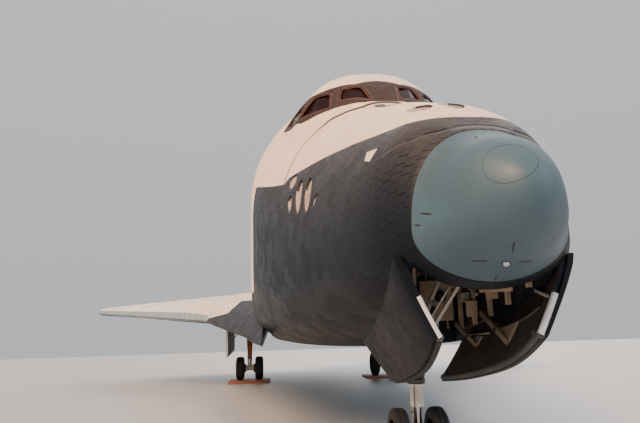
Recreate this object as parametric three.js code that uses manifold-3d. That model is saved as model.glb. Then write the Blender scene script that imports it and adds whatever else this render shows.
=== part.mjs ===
// Space shuttle orbiter, empty, parked on its landing gear with low plates under the main wheels.
import * as THREE from 'three';
import { mergeVertices } from 'three/addons/utils/BufferGeometryUtils.js';
import Module from 'manifold-3d';

const wasm = await Module();
wasm.setup();

// The vehicle's own stations are in inches: x aft, y to starboard, z up.
// They stay in inches here, and a finished piece is scaled to millimetres.
const mmPerInch = 25.4;
const seat = 0.015;
const runningGap = 0.2;
const around = 32;

// Driving dimensions
const noseDown = THREE.MathUtils.degToRad(4.2);
const floorBelowDatum = 237.97;
const noseTip = 236;
const capEnd = 272.7;
const cabinEnd = 578;
const bayEnd = 1307;
const bodyEnd = 1521.5;
const sill = 420;
const noseGear = { x: 395, wheelRadius: 16, wheelWidth: 8.8, wheelOffset: 11 };
const mainGear = { x: 1180, y: 136, wheelRadius: 22.25, wheelWidth: 16, wheelOffset: 18.8 };
const plate = { side: 80, height: 5 };
const hinges = {
  elevonX: 1387,
  flap: { x: 1532, z: 287, radius: 9.6, halfSpan: 108 },
  rudder: { base: [1470, 0, 535], lean: Math.atan2(168.5, 260), length: 292, spineRadius: 3 },
};

// Body sections: station, bottom, top, half width, height of the widest point,
// squareness above that point and squareness below it
const bodySections = [
  [236, 334, 336, 1, 335, 2, 2],
  [238.5, 327, 342.8, 7.1, 334.5, 2.1, 2],
  [244, 321, 348.8, 12.8, 333.5, 2.15, 1.9],
  [254, 314.6, 356, 19.9, 330.3, 2.19, 1.88],
  [270, 308, 362.9, 28.25, 326.2, 2.19, 1.91],
  [285, 301.8, 374.2, 37.3, 324, 2.6, 2.08],
  [300, 296, 385, 43.6, 323, 2.3, 2.3],
  [330, 288.5, 398.5, 52.8, 323, 2.03, 2.6],
  [360, 282.5, 411, 61.6, 325, 1.92, 2.9],
  [400, 276.5, 425.5, 72.5, 330, 1.9, 3.3],
  [440, 272.5, 440, 82.5, 339, 1.9, 3.8],
  [480, 270, 455, 91, 352, 1.95, 4.4],
  [520, 268.3, 472, 97, 367, 2, 5.2],
  [560, 267.3, 489, 101, 382, 2.1, 6.2],
  [582, 267, 497, 103.5, 389, 2.22, 6.8],
  [640, 267, 500.5, 105, 397, 2.12, 8],
  [700, 267, 501.5, 105.5, 398, 2, 8],
  [1307, 267, 501.5, 105.5, 398, 2, 8],
  [1400, 268.5, 501.5, 105.5, 398, 2, 8],
  [1540, 278, 501.5, 105.5, 398, 2, 8],
];
// Flight deck bulge over those sections: station, top, half width
const canopySections = [
  [405, 380, 30],
  [424, 428, 34],
  [432, 440, 42.5],
  [445, 453.5, 51],
  [460, 467, 59],
  [475, 479, 67],
  [490, 488, 74],
  [510, 494.5, 76.5],
  [540, 498.5, 82],
  [582, 500, 90],
];
const canopySquareness = 2.56;
const canopyFadeEnd = 640;
const canopyBlend = 40;

// Smooth curve through each column of a table
function sampled(table, x) {
  const last = table.length - 1;
  const at = THREE.MathUtils.clamp(x, table[0][0], table[last][0]);
  let i = 0;
  while (i < last - 1 && table[i + 1][0] < at) i++;
  const span = table[i + 1][0] - table[i][0];
  const t = (at - table[i][0]) / span;
  const slope = (k, c) => (table[k + 1][c] - table[k][c]) / (table[k + 1][0] - table[k][0]);
  const tangent = (k, c) => {
    if (k === 0) return slope(0, c);
    if (k === last) return slope(last - 1, c);
    const before = slope(k - 1, c);
    const after = slope(k, c);
    return before * after > 0 ? (2 * before * after) / (before + after) : 0;
  };
  return table[i].map((value, c) => {
    const end = table[i + 1][c];
    return (
      (2 * t ** 3 - 3 * t ** 2 + 1) * value +
      (t ** 3 - 2 * t ** 2 + t) * span * tangent(i, c) +
      (-2 * t ** 3 + 3 * t ** 2) * end +
      (t ** 3 - t ** 2) * span * tangent(i + 1, c)
    );
  });
}

function ovalRadius(angle, halfWidth, halfHeight, squareness) {
  const across = Math.abs(Math.cos(angle) / halfWidth) ** squareness;
  const up = Math.abs(Math.sin(angle) / halfHeight) ** squareness;
  return (across + up) ** (-1 / squareness);
}

// A point on the outer surface; angle runs from starboard (0) over the top (90 degrees) to port
function bodyPoint(x, angle, inset = 0) {
  const [, bottom, top, halfWidth, widest, squareTop, squareBottom] = sampled(bodySections, x);
  const upper = Math.sin(angle) >= 0;
  const halfHeight = upper ? top - widest : widest - bottom;
  let radius = ovalRadius(angle, halfWidth, halfHeight, upper ? squareTop : squareBottom);
  if (upper && x > canopySections[0][0] && x < canopyFadeEnd) {
    const [, canopyTop, canopyHalf] = sampled(canopySections, x);
    const fade = Math.min(1, (canopyFadeEnd - x) / (canopyFadeEnd - 582));
    const bulge = fade * ovalRadius(angle, canopyHalf, Math.max(canopyTop - widest, 1), canopySquareness);
    radius = (radius ** canopyBlend + bulge ** canopyBlend) ** (1 / canopyBlend);
  }
  const r = Math.max(radius - inset, 0.2);
  return [x, r * Math.cos(angle), widest + r * Math.sin(angle)];
}

// Makes a closed geometry into a solid whose faces point outwards
function solidOf(geometry) {
  const bare = geometry.clone();
  for (const name of Object.keys(bare.attributes)) {
    if (name !== 'position') bare.deleteAttribute(name);
  }
  const merged = mergeVertices(bare, 1e-4);
  const points = merged.getAttribute('position').array;
  const corners = [];
  for (let i = 0; i < merged.index.count; i += 3) {
    const [a, b, c] = [0, 1, 2].map((k) => merged.index.getX(i + k));
    if (a !== b && b !== c && c !== a) corners.push([a, b, c]);
  }
  const corner = (k) => new THREE.Vector3().fromArray(points, 3 * k);
  const volume = corners.reduce((sum, [a, b, c]) => sum + corner(a).dot(corner(b).cross(corner(c))), 0);
  const triVerts = new Uint32Array(corners.flatMap(([a, b, c]) => (volume > 0 ? [a, b, c] : [a, c, b])));
  return new wasm.Manifold(new wasm.Mesh({ numProp: 3, vertProperties: new Float32Array(points), triVerts }));
}

// Closed body through rings that all have the same number of points
function loft(rings) {
  const count = rings[0].length;
  const positions = rings.flat(2);
  const index = [];
  for (let r = 0; r + 1 < rings.length; r++) {
    for (let i = 0; i < count; i++) {
      const j = (i + 1) % count;
      const [a, b] = [r * count + i, r * count + j];
      index.push(a, b, b + count, a, b + count, a + count);
    }
  }
  closeEnd(rings[0], 0, true);
  closeEnd(rings[rings.length - 1], (rings.length - 1) * count, false);
  return solidOf(indexedGeometry(positions, index));

  function closeEnd(ring, base, facesBack) {
    const points = ring.map((p) => new THREE.Vector3(...p));
    const normal = new THREE.Vector3();
    points.forEach((p, i) => normal.add(p.clone().cross(points[(i + 1) % count])));
    normal.normalize();
    const along = points[1].clone().sub(points[0]).projectOnPlane(normal).normalize();
    const up = normal.clone().cross(along);
    const flat = points.map((p) => new THREE.Vector2(p.dot(along), p.dot(up)));
    let triangles = THREE.ShapeUtils.triangulateShape(flat, []);
    if (triangles.length !== count - 2) {
      const centre = points.reduce((sum, p) => sum.add(p), new THREE.Vector3()).divideScalar(count);
      const hub = positions.length / 3;
      positions.push(...centre.toArray());
      for (let i = 0; i < count; i++) {
        const pair = [base + i, base + ((i + 1) % count)];
        index.push(hub, ...(facesBack ? pair.reverse() : pair));
      }
      return;
    }
    for (const [a, b, c] of triangles) {
      const turnsLeft = flat[b].clone().sub(flat[a]).cross(flat[c].clone().sub(flat[a])) > 0;
      const order = turnsLeft !== facesBack ? [a, b, c] : [a, c, b];
      index.push(...order.map((k) => base + k));
    }
  }
}

function indexedGeometry(positions, index) {
  const geometry = new THREE.BufferGeometry();
  geometry.setAttribute('position', new THREE.Float32BufferAttribute(positions, 3));
  geometry.setIndex(index);
  return geometry;
}

function box(x0, x1, y0, y1, z0, z1) {
  const geometry = new THREE.BoxGeometry(Math.abs(x1 - x0), Math.abs(y1 - y0), Math.abs(z1 - z0));
  return solidOf(geometry.translate((x0 + x1) / 2, (y0 + y1) / 2, (z0 + z1) / 2));
}

// Straight prism of an outline: plane 'xz' runs along y, plane 'xy' runs along z
function prism(outline, plane, from, to) {
  const shape = new THREE.Shape(outline.map(([a, b]) => new THREE.Vector2(a, b)));
  const geometry = new THREE.ExtrudeGeometry(shape, { depth: to - from, bevelEnabled: false });
  if (plane === 'xz') geometry.rotateX(Math.PI / 2).translate(0, to, 0);
  else geometry.translate(0, 0, from);
  return solidOf(geometry);
}

// Round bar or cone between two points; turn rotates its facets by a part of one facet
function rod(from, to, radiusFrom, radiusTo = radiusFrom, sides = 12, turn = 0) {
  const start = new THREE.Vector3(...from);
  const way = new THREE.Vector3(...to).sub(start);
  const geometry = new THREE.CylinderGeometry(radiusTo, radiusFrom, way.length(), sides);
  geometry.rotateY((turn * 2 * Math.PI) / sides).translate(0, way.length() / 2, 0);
  return solidOf(aimed(geometry, start, way));
}

// Body turned about an axis through origin; the profile lists radius and distance along the axis
function turned(profile, origin, direction, sides, turn = 0) {
  const points = profile.map(([r, s]) => new THREE.Vector2(r, s));
  const geometry = new THREE.LatheGeometry(points, sides).rotateY((turn * 2 * Math.PI) / sides);
  return solidOf(aimed(geometry, new THREE.Vector3(...origin), new THREE.Vector3(...direction)));
}

function aimed(geometry, origin, direction) {
  const up = new THREE.Vector3(0, 1, 0);
  const turn = new THREE.Quaternion().setFromUnitVectors(up, direction.clone().normalize());
  return geometry.applyQuaternion(turn).translate(...origin.toArray());
}

// Radius of a hole's corners so that its flats clear a round pin
const holeRadius = (pinRadius, sides = 12) => (pinRadius + seat) / Math.cos(Math.PI / sides);

// Frame of the finished vehicle: nose towards -Y, starboard towards -X, leaning nose down on its gear
const orbiter = new THREE.Group();
const ship = new THREE.Group();
ship.rotation.set(noseDown, 0, Math.PI / 2);
ship.position.z = -floorBelowDatum * mmPerInch;
orbiter.add(ship);

const paint = {
  whiteTile: { color: '#dcdad3', roughness: 0.75 },
  blackTile: { color: '#23252a', roughness: 0.55 },
  noseGrey: { color: '#7d8791', roughness: 0.45 },
  edgeGrey: { color: '#8f979e', roughness: 0.5 },
  glass: { color: '#2b2522', roughness: 0.1 },
  liner: { color: '#c9c7bd', roughness: 0.7 },
  deckGrey: { color: '#5c5f63', roughness: 0.7 },
  nozzle: { color: '#6b5e52', roughness: 0.4, metalness: 0.8 },
  gearWhite: { color: '#d4d2ca', roughness: 0.5, metalness: 0.2 },
  wheelMetal: { color: '#9a9a96', roughness: 0.45, metalness: 0.7 },
  tyre: { color: '#1d1d1e', roughness: 0.85 },
  plateOrange: { color: '#b5672c', roughness: 0.6 },
};

function add(name, solid, finish) {
  const mesh = solid.getMesh();
  const geometry = indexedGeometry(Array.from(mesh.vertProperties), Array.from(mesh.triVerts));
  geometry.scale(mmPerInch, mmPerInch, mmPerInch).computeVertexNormals();
  const piece = new THREE.Mesh(geometry, new THREE.MeshStandardMaterial(paint[finish]));
  piece.name = name;
  ship.add(piece);
}

const sides = [
  { name: 'right', way: 1 },
  { name: 'left', way: -1 },
];

const ringAngles = Array.from({ length: around }, (_, i) => (i * 2 * Math.PI) / around);
const tableStations = [...bodySections, ...canopySections].map(([x]) => x);
const closest = 9;
const bodyStations = [];
for (const x of [...tableStations, cabinEnd].sort((a, b) => a - b)) {
  const before = bodyStations[bodyStations.length - 1] ?? 0;
  if (x < capEnd || x === cabinEnd || x - before > closest) bodyStations.push(x);
}

// The body between two stations, drawn in by inset or grown by a negative one
function body(from, to, inset = 0) {
  const inner = bodyStations.filter((x) => x > from + 2 && x < to - 2);
  return loft([from, ...inner, to].map((x) => ringAngles.map((angle) => bodyPoint(x, angle, inset))));
}

// Nose thrusters: station, angle up from starboard, size along and around the body,
// and how far the upper end leans aft
const nosePorts = [
  [421, 34.2, 15, 10.5, -29],
  [410.5, 24, 6.5, 15, 42],
  [396, 28.3, 10, 30, 36],
  [379.6, 30.1, 10.5, 27.5, 34],
  [364.4, 28, 3.1, 7, 12],
  [351, 84, 7, 7, 0],
  [310.5, 78.5, 10, 12, 0],
  [301, 90, 9, 12, 0],
];
const portDepth = 7;
const portSides = 16;

function portCutter([x, degrees, length, height, lean], way) {
  const [angle, turn] = [degrees, lean].map(THREE.MathUtils.degToRad);
  const [, y, z] = bodyPoint(x, angle);
  const geometry = new THREE.CylinderGeometry(1, 0.8, 2 * portDepth, portSides);
  geometry.rotateY(Math.PI / portSides).scale(length / 2, 1, height / 2);
  const out = new THREE.Vector3(0, way * Math.cos(angle), Math.sin(angle));
  const aft = new THREE.Vector3(1, 0, 0);
  const up = aft.clone().cross(out).multiplyScalar(way);
  const along = aft.multiplyScalar(Math.cos(turn)).addScaledVector(up, -Math.sin(turn));
  const place = new THREE.Matrix4().makeBasis(along, out, along.clone().cross(out));
  return solidOf(geometry.applyMatrix4(place).translate(x, way * y, z));
}

const thrusterBlock = (grow) =>
  prism(
    [
      [277 - grow, 365.5 - grow],
      [330 - grow, 348 - grow],
      [430 + grow, 348 - grow],
      [430 + grow, 520],
      [277 - grow, 520],
    ],
    'xz',
    -120,
    120,
  );

function thrusterModule() {
  let module = body(capEnd + seat, 440).intersect(thrusterBlock(0));
  for (const { way } of sides) {
    for (const port of nosePorts) module = module.subtract(portCutter(port, way));
  }
  return module;
}

// Windows: each corner is a station and an angle up from starboard
const windowCorners = {
  front: [[433.4, 85], [456.4, 83.9], [465, 76.1], [453.6, 73]],
  middle: [[455, 69.6], [468.5, 73.1], [484.3, 67.2], [489, 56]],
  side: [[494, 53.8], [491.5, 64], [519, 60.5], [534, 50.5]],
  overhead: [[516, 84.6], [540, 84.6], [540, 77], [516, 77]],
};
const windowFit = 0.05;
const cabinWall = 6;
const pane = { outer: 0.8, inner: 2.6 };

function windowCutter(corners, way, shrink) {
  const points = corners.map(([x, degrees]) => {
    const [, y, z] = bodyPoint(x, THREE.MathUtils.degToRad(degrees));
    return new THREE.Vector3(x, way * y, z);
  });
  const centre = points.reduce((sum, p) => sum.add(p), new THREE.Vector3()).divideScalar(points.length);
  const normal = new THREE.Vector3();
  points.forEach((p, i) => {
    const next = points[(i + 1) % points.length];
    normal.add(p.clone().sub(centre).cross(next.clone().sub(centre)));
  });
  normal.normalize();
  if (normal.z < 0) normal.negate();
  const ringAt = (height) =>
    points.map((p) => {
      const inward = centre.clone().sub(p).normalize().multiplyScalar(shrink);
      return p.clone().add(inward).addScaledVector(normal, height).toArray();
    });
  return loft([ringAt(4), ringAt(-14)]);
}

function windowPane(corners, way) {
  const shell = body(425, 570, pane.outer).subtract(body(424, 571, pane.inner));
  return shell.intersect(windowCutter(corners, way, windowFit));
}

const cabinSpace = (inset) => body(438, 568, inset).intersect(box(430, 575, -120, 120, 332, 520));

// Side hatch, a tapered plug in the port wall
const hatch = { x: 508, z: 365, radius: 20, taper: 0.07, wall: 5, hingeOut: 1.1 };

function hatchCone(radiusChange, drop) {
  const [, y] = bodyPoint(hatch.x, 0);
  const flare = Math.atan((bodyPoint(hatch.x + 20, 0)[1] - bodyPoint(hatch.x - 20, 0)[1]) / 40);
  const out = new THREE.Vector3(-Math.sin(flare), -Math.cos(flare), 0);
  const at = (distance) =>
    new THREE.Vector3(hatch.x, -y, hatch.z - drop).addScaledVector(out, distance).toArray();
  const radius = hatch.radius + radiusChange;
  return rod(at(-12), at(8), radius - 12 * hatch.taper, radius + 8 * hatch.taper, 32);
}

function sideHatch() {
  const shell = body(470, 550).subtract(body(469, 551, hatch.wall));
  const plug = hatchCone(-runningGap, runningGap - seat);
  return shell.intersect(plug).intersect(box(470, 550, -120, 0, 300, 420));
}

const noseWell = { from: 279, to: 405, half: 28, top: 330 };

function noseWellCutter() {
  const { from, to, half, top } = noseWell;
  return prism([[from, 200], [to, 200], [to, top], [from + 14, top], [from, top - 8]], 'xz', -half, half);
}

function forwardFuselage() {
  let solid = body(capEnd + seat, cabinEnd - seat)
    .subtract(thrusterBlock(seat))
    .subtract(cabinSpace(cabinWall))
    .subtract(noseWellCutter())
    .subtract(hatchCone(0, 0));
  for (const { way } of sides) {
    for (const corners of Object.values(windowCorners)) {
      solid = solid.subtract(windowCutter(corners, way, 0));
    }
  }
  return solid;
}

// Flight deck: floor, instrument panel under the windshield, centre console and two seats
function flightDeck() {
  const floor = box(439, 567, -120, 120, 408, 412);
  const panel = prism([[446, 411], [458, 411], [460, 434], [452, 441], [446, 438]], 'xz', -32, 32);
  const console = prism([[457, 411], [492, 411], [490, 424], [459, 426]], 'xz', -6, 6);
  const seatShape = [[472, 411], [492, 411], [497, 450], [492, 451], [486, 428], [470, 426]];
  const seats = sides.map(({ way }) => prism(seatShape, 'xz', way * 22 - 9, way * 22 + 9));
  const furniture = floor.add(panel).add(console).add(seats[0]).add(seats[1]);
  return furniture.intersect(cabinSpace(cabinWall + seat));
}

// Payload bay
const bay = { from: 584, to: 1303, radius: 92, centre: 402 };

function midFuselage() {
  const trough = rod([bay.from, 0, bay.centre], [bay.to, 0, bay.centre], bay.radius, bay.radius, around);
  const slot = box(bay.from, bay.to, -bay.radius, bay.radius, bay.centre, sill + 5);
  return body(cabinEnd + seat, bayEnd - seat)
    .intersect(box(500, 1400, -120, 120, 200, sill))
    .subtract(trough)
    .subtract(slot);
}

const doorThickness = 5;

function bayDoor(way) {
  const [from, to] = [cabinEnd + 0.4, bayEnd - 0.4];
  const half = box(500, 1400, way * runningGap, way * 140, sill + seat, 560);
  return body(from, to).subtract(body(from - 1, to + 1, doorThickness)).intersect(half);
}

// Aft fuselage with a base that leans forward, and a round seat for each main engine
const baseLine = [[1528, 300], [1474, 500]];
const engines = [
  { name: 'main_engine_nozzle_top', gimbal: [1445, 0, 443], pitch: 16, yaw: 0 },
  { name: 'main_engine_nozzle_right', gimbal: [1468, 53, 342.6], pitch: 10, yaw: 3.5 },
  { name: 'main_engine_nozzle_left', gimbal: [1468, -53, 342.6], pitch: 10, yaw: -3.5 },
];
const engine = {
  buried: 20, rootRadius: 34, seatEnd: 54, seatRadius: 30, entry: 19, exit: 47, length: 118, wall: 1.5,
};

function engineWay({ pitch, yaw }) {
  const [p, w] = [pitch, yaw].map(THREE.MathUtils.degToRad);
  return new THREE.Vector3(Math.cos(p) * Math.cos(w), Math.cos(p) * Math.sin(w), Math.sin(p));
}

const alongEngine = (unit, distance) =>
  new THREE.Vector3(...unit.gimbal).addScaledVector(engineWay(unit), distance).toArray();

function aftShape(grow) {
  const outline = [
    [1300, 200],
    [bodyEnd + grow, 200],
    [bodyEnd + grow, 299],
    [baseLine[0][0] + grow, baseLine[0][1]],
    [baseLine[1][0] + grow, baseLine[1][1]],
    [baseLine[1][0] + grow, 560],
    [1300, 560],
  ];
  return body(bayEnd + seat - grow, 1540, -grow).intersect(prism(outline, 'xz', -130, 130));
}

function aftFuselage() {
  let solid = aftShape(0);
  for (const unit of engines) {
    const [buried, end] = [engine.buried, engine.seatEnd].map((s) => alongEngine(unit, s));
    solid = solid.add(rod(buried, end, engine.rootRadius, engine.seatRadius, 24));
  }
  return solid.add(flapLugs());
}

// Bell: steep near its throat and nearly straight at its exit
function bellRadius(part, entry, exit) {
  return entry + (exit - entry) * (1 - (1 - part) ** 1.8);
}

function bell(origin, direction, { entry, exit, length, wall }, sidesAround) {
  const steps = [0, 0.15, 0.4, 0.7, 1];
  const outside = steps.map((t) => [bellRadius(t, entry, exit), t * length]);
  const inside = steps
    .map((t) => [bellRadius(t, entry, exit) - wall, Math.max(t * length, 2)])
    .reverse();
  return turned([[0, 0], ...outside, ...inside, [0, 2]], origin, direction, sidesAround);
}

// Orbital engine pods: station, sideways and upward centre, half width and half height
const podSections = [
  [1308, 70, 473, 12, 9],
  [1325, 71, 475, 26, 20],
  [1350, 73, 478, 36, 31],
  [1390, 75, 481, 45, 41],
  [1440, 80, 484, 48, 45],
  [1500, 86, 485, 42, 43],
  [1535, 90, 485, 36, 38],
];
const podNozzle = { x: 1535, y: 86, z: 490, pitch: 12, entry: 9, exit: 21.5, length: 48, wall: 1 };

function pod(way) {
  const steps = Array.from({ length: 20 }, (_, i) => (i * Math.PI) / 10);
  const rings = podSections.map(([x, y, z, halfWidth, halfHeight]) =>
    steps.map((t) => [x, way * (y + halfWidth * Math.cos(t)), z + halfHeight * Math.sin(t)]),
  );
  const thrusterEnd = prism(
    [[1470, 455], [1556, 449], [1567, 456], [1567, 486], [1540, 497], [1470, 500]],
    'xz',
    way > 0 ? 110 : -126,
    way > 0 ? 126 : -110,
  );
  return loft(rings).add(thrusterEnd).subtract(aftShape(seat));
}

function podBell(way) {
  const pitch = THREE.MathUtils.degToRad(podNozzle.pitch);
  const back = podNozzle.entry * Math.sin(pitch) + seat;
  const entry = [podNozzle.x + back, way * podNozzle.y, podNozzle.z];
  return bell(entry, [Math.cos(pitch), 0, Math.sin(pitch)], podNozzle, 18);
}

// Fin and rudder. The rudder's own directions: s along its axis, d back from it, y to starboard
const rudder = hinges.rudder;
const rudderPoint = (s, d, y = 0) => [
  rudder.base[0] + s * Math.sin(rudder.lean) + d * Math.cos(rudder.lean),
  y,
  rudder.base[2] + s * Math.cos(rudder.lean) - d * Math.sin(rudder.lean),
];
const rudderHalf = (s) => 13.4 - 0.0265 * s;
const rudderChord = (s) => 82.4 - 0.117 * s;
const rudderFloor = 538;
const rudderAxis = [Math.sin(rudder.lean), 0, Math.cos(rudder.lean)];
const pin = { radius: 1.2, reach: 6 };

function fin() {
  const wedge = Math.tan(THREE.MathUtils.degToRad(5));
  const section = (z) => {
    const front = 1277 + (z - 503);
    const rear = 1545.5 + (z - 503) * 0.4937;
    const widest = front + 0.6 * (rear - front);
    const half = (widest - front) * wedge;
    const edge = Math.min(1.2, 0.3 * half);
    return [
      [front, 0, z],
      [front + 3, edge, z],
      [widest, half, z],
      [rear, 1.2, z],
      [rear, -1.2, z],
      [widest, -half, z],
      [front + 3, -edge, z],
    ];
  };
  const clearance = runningGap + 0.3;
  const frontLine = (s) => rudderPoint(s, -(rudderHalf(s) + clearance));
  const top = rudder.length + seat;
  const cutTop = frontLine(top);
  const low = (rudderFloor - frontLine(0)[2]) / (frontLine(1)[2] - frontLine(0)[2]);
  const cutBack = rudderPoint(top, 200);
  const outline = [
    [frontLine(low)[0], rudderFloor],
    [cutTop[0], cutTop[2]],
    [cutBack[0], cutBack[2]],
    [cutBack[0], rudderFloor],
  ];
  // Fin root: it starts behind the bay doors and its rear corner is cut back above the top engine
  const root = [[1309, 400], [1309, 850], [1720, 850], [1720, 575], [1564, 529], [1474, 502], [1474, 400]];
  const boreRadius = holeRadius(pin.radius);
  const bore = (from, to) => rod(rudderPoint(from, 0), rudderPoint(to, 0), boreRadius, boreRadius, 12, 0.5);
  return loft([470, 560, 690, 800, 818.7].map(section))
    .intersect(prism(root, 'xz', -40, 40))
    .subtract(prism(outline, 'xz', -40, 40))
    .subtract(aftShape(seat))
    .subtract(bore(-pin.reach - 2, 8))
    .subtract(bore(rudder.length - 2, rudder.length + pin.reach + 1));
}

function rudderSpine() {
  return rod(rudderPoint(6.5, 0), rudderPoint(rudder.length, 0), rudder.spineRadius, undefined, 16)
    .add(rod(rudderPoint(-pin.reach, 0), rudderPoint(8, 0), pin.radius))
    .add(rod(rudderPoint(rudder.length - 1, 0), rudderPoint(rudder.length + pin.reach, 0), pin.radius));
}

function rudderPanel(way) {
  const innerRadius = rudder.spineRadius / Math.cos(Math.PI / 16) + seat;
  const middle = 0.25;
  const sector = THREE.MathUtils.degToRad(125);
  const arc = (radius, from, to, steps) =>
    Array.from({ length: steps + 1 }, (_, i) => {
      const angle = from + ((to - from) * i) / steps;
      return [radius * Math.cos(angle), radius * Math.sin(angle)];
    });
  const ring = (s) => {
    const half = rudderHalf(s);
    const outline = [
      [rudderChord(s), middle],
      ...arc(innerRadius, Math.asin(middle / innerRadius), sector, 7),
      ...arc(half, sector, Math.PI / 2 - 0.13, 5),
      [rudderChord(s), 1.4],
    ];
    return outline.map(([d, y]) => rudderPoint(s, d, way * y));
  };
  const slope = Math.tan(rudder.lean);
  const reach = 330;
  const lowest = 4.4;
  const cone = [[0, lowest], [(reach - lowest) / slope, reach], [0, reach]];
  const clearOfFin = turned(cone, rudder.base, rudderAxis, 64);
  return loft([ring(-30), ring(rudder.length - seat)]).intersect(clearOfFin);
}

// Wing plan: leading edge of the strake as sideways distance and station
const strakeEdge = [[88, 480], [103, 545], [113, 620], [153, 800], [199, 1006]];
const tip = 468.3;
const kink = 199;
const wingRoot = 92;

function leadingEdge(y) {
  if (y >= kink) return 807 + y;
  const k = Math.min(strakeEdge.findIndex(([edge]) => edge > y), strakeEdge.length - 1);
  const [[y0, x0], [y1, x1]] = [strakeEdge[k - 1], strakeEdge[k]];
  return x0 + ((y - y0) / (y1 - y0)) * (x1 - x0);
}

const trailingEdge = (y) => 1496.2 - 0.1773 * y;
const wingBottom = (y) => 267 + 0.061 * (y - 105);
const elevonRadius = (y) => 13.8 - 0.02534 * (y - 105);
const elevonAxis = (y) => [hinges.elevonX, y, wingBottom(y) + elevonRadius(y)];

function wingDepth(x, y) {
  const mid = 62 - 0.1267 * (y - 105);
  const theoretical = 807 + y;
  const thickest = theoretical + 0.4 * (trailingEdge(y) - theoretical);
  const front = leadingEdge(y);
  if (x >= thickest) {
    const part = (x - thickest) / (hinges.elevonX - thickest);
    return mid + (2 * elevonRadius(y) - mid) * part ** 1.7;
  }
  const part = (x - front) / (thickest - front);
  const bluntness = THREE.MathUtils.mapLinear(THREE.MathUtils.clamp(y, 113, 240), 113, 240, 0.8, 0.55);
  return mid * (1 - (1 - part) ** 2) ** bluntness;
}

const cove = { clearance: 0.35, up: 42, down: 28 };

// Lower skin, leading edge, upper skin and the hollow that the elevon's round front turns in
function wingSection(y) {
  const front = leadingEdge(y);
  const radius = elevonRadius(y) + cove.clearance;
  const [axisX, , axisZ] = elevonAxis(y);
  const upperLip = axisX - radius * Math.sin(THREE.MathUtils.degToRad(cove.up)) - 0.3;
  const lowerLip = axisX - radius * Math.sin(THREE.MathUtils.degToRad(cove.down)) - 0.3;
  const noseRise = 6;
  const lower = (x) => wingBottom(y) + noseRise * Math.max(0, 1 - (x - front) / 28) ** 2;
  const steps = [0.012, 0.05, 0.12, 0.24, 0.42, 0.62, 0.82, 1];
  const upper = steps.map((t) => {
    const x = front + (upperLip - front) * t;
    return [x, y, Math.max(wingBottom(y) + wingDepth(x, y), lower(x) + 1.5)];
  });
  const hollow = Array.from({ length: 9 }, (_, i) => {
    const turn = THREE.MathUtils.mapLinear(i, 0, 8, 90 + cove.up, 270 - cove.down);
    const angle = THREE.MathUtils.degToRad(turn);
    return [axisX + radius * Math.cos(angle), y, axisZ + radius * Math.sin(angle)];
  });
  const under = [1, 0.6, 0.25, 0.06].map((t) => {
    const x = front + (lowerLip - front) * t;
    return [x, y, lower(x) - 0.15 * Math.sin(Math.PI * t)];
  });
  return [[front, y, wingBottom(y) + noseRise], ...upper, ...hollow, ...under];
}

const wingStations = [wingRoot, 103, 113, 132, 165, kink, 240, 312, 400, tip];
const edgeDepth = 15;

function leadingStrip(way, grow) {
  const outline = [
    [leadingEdge(kink) - 40, kink - grow],
    [leadingEdge(kink) + edgeDepth + grow, kink - grow],
    [leadingEdge(tip) + edgeDepth + 5 + grow, tip + 5],
    [leadingEdge(tip) - 40, tip + 5],
  ];
  return prism(outline.map(([x, y]) => [x, way * y]), 'xy', 240, 340);
}

// Elevons: name, inner end, outer end and the places of the hinge arms
const elevons = [
  { name: 'inner', from: 109, to: 312.1, arms: [135, 285] },
  { name: 'outer', from: 312.9, to: 467.6, arms: [342, 432] },
];
const arm = { thickness: 2, slot: 3.2, pinRadius: 1 };
const armHeight = (y) => Math.min(2.5, 0.32 * elevonRadius(y));
const elevonUp = THREE.MathUtils.degToRad(40);

// Point of a hinge line on the side that way gives
function onHinge(axisAt, way, y) {
  const [x, , z] = axisAt(y);
  return [x, way * y, z];
}

// Fixed hinge arm, from the wall behind the hollow round the hinge pin
function hingeArm(axisAt, way, height, reach, sideFrom, sideTo) {
  const [x, , z] = axisAt((sideFrom + sideTo) / 2);
  const nose = Array.from({ length: 7 }, (_, i) => {
    const angle = THREE.MathUtils.degToRad(-90 + 30 * i);
    return [x + height * Math.cos(angle), z + height * Math.sin(angle)];
  });
  const shape = [[x - reach, z - height], ...nose, [x - reach, z + height]];
  const ends = [way * sideFrom, way * sideTo].sort((a, b) => a - b);
  const solid = prism(shape, 'xz', ...ends);
  const bore = rod(
    onHinge(axisAt, way, sideFrom - 1),
    onHinge(axisAt, way, sideTo + 1),
    holeRadius(arm.pinRadius),
    undefined,
    12,
    0.5,
  );
  return solid.subtract(bore);
}

function mainWell(way) {
  const [from, to] = [110, 170];
  return box(1040, 1194, way * from, way * to, 200, 303);
}

function wholeWing(way) {
  const rings = wingStations.map((y) => wingSection(y).map(([x, , z]) => [x, way * y, z]));
  return loft(rings).subtract(body(440, 1306, -seat)).subtract(body(1300, 1540, -seat));
}

function wing(way) {
  let solid = wholeWing(way).subtract(leadingStrip(way, seat)).subtract(mainWell(way));
  for (const { arms } of elevons) {
    for (const y of arms) {
      const reach = elevonRadius(y) + 4;
      const half = arm.thickness / 2;
      solid = solid.add(hingeArm(elevonAxis, way, armHeight(y), reach, y - half, y + half));
    }
  }
  return solid;
}

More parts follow.
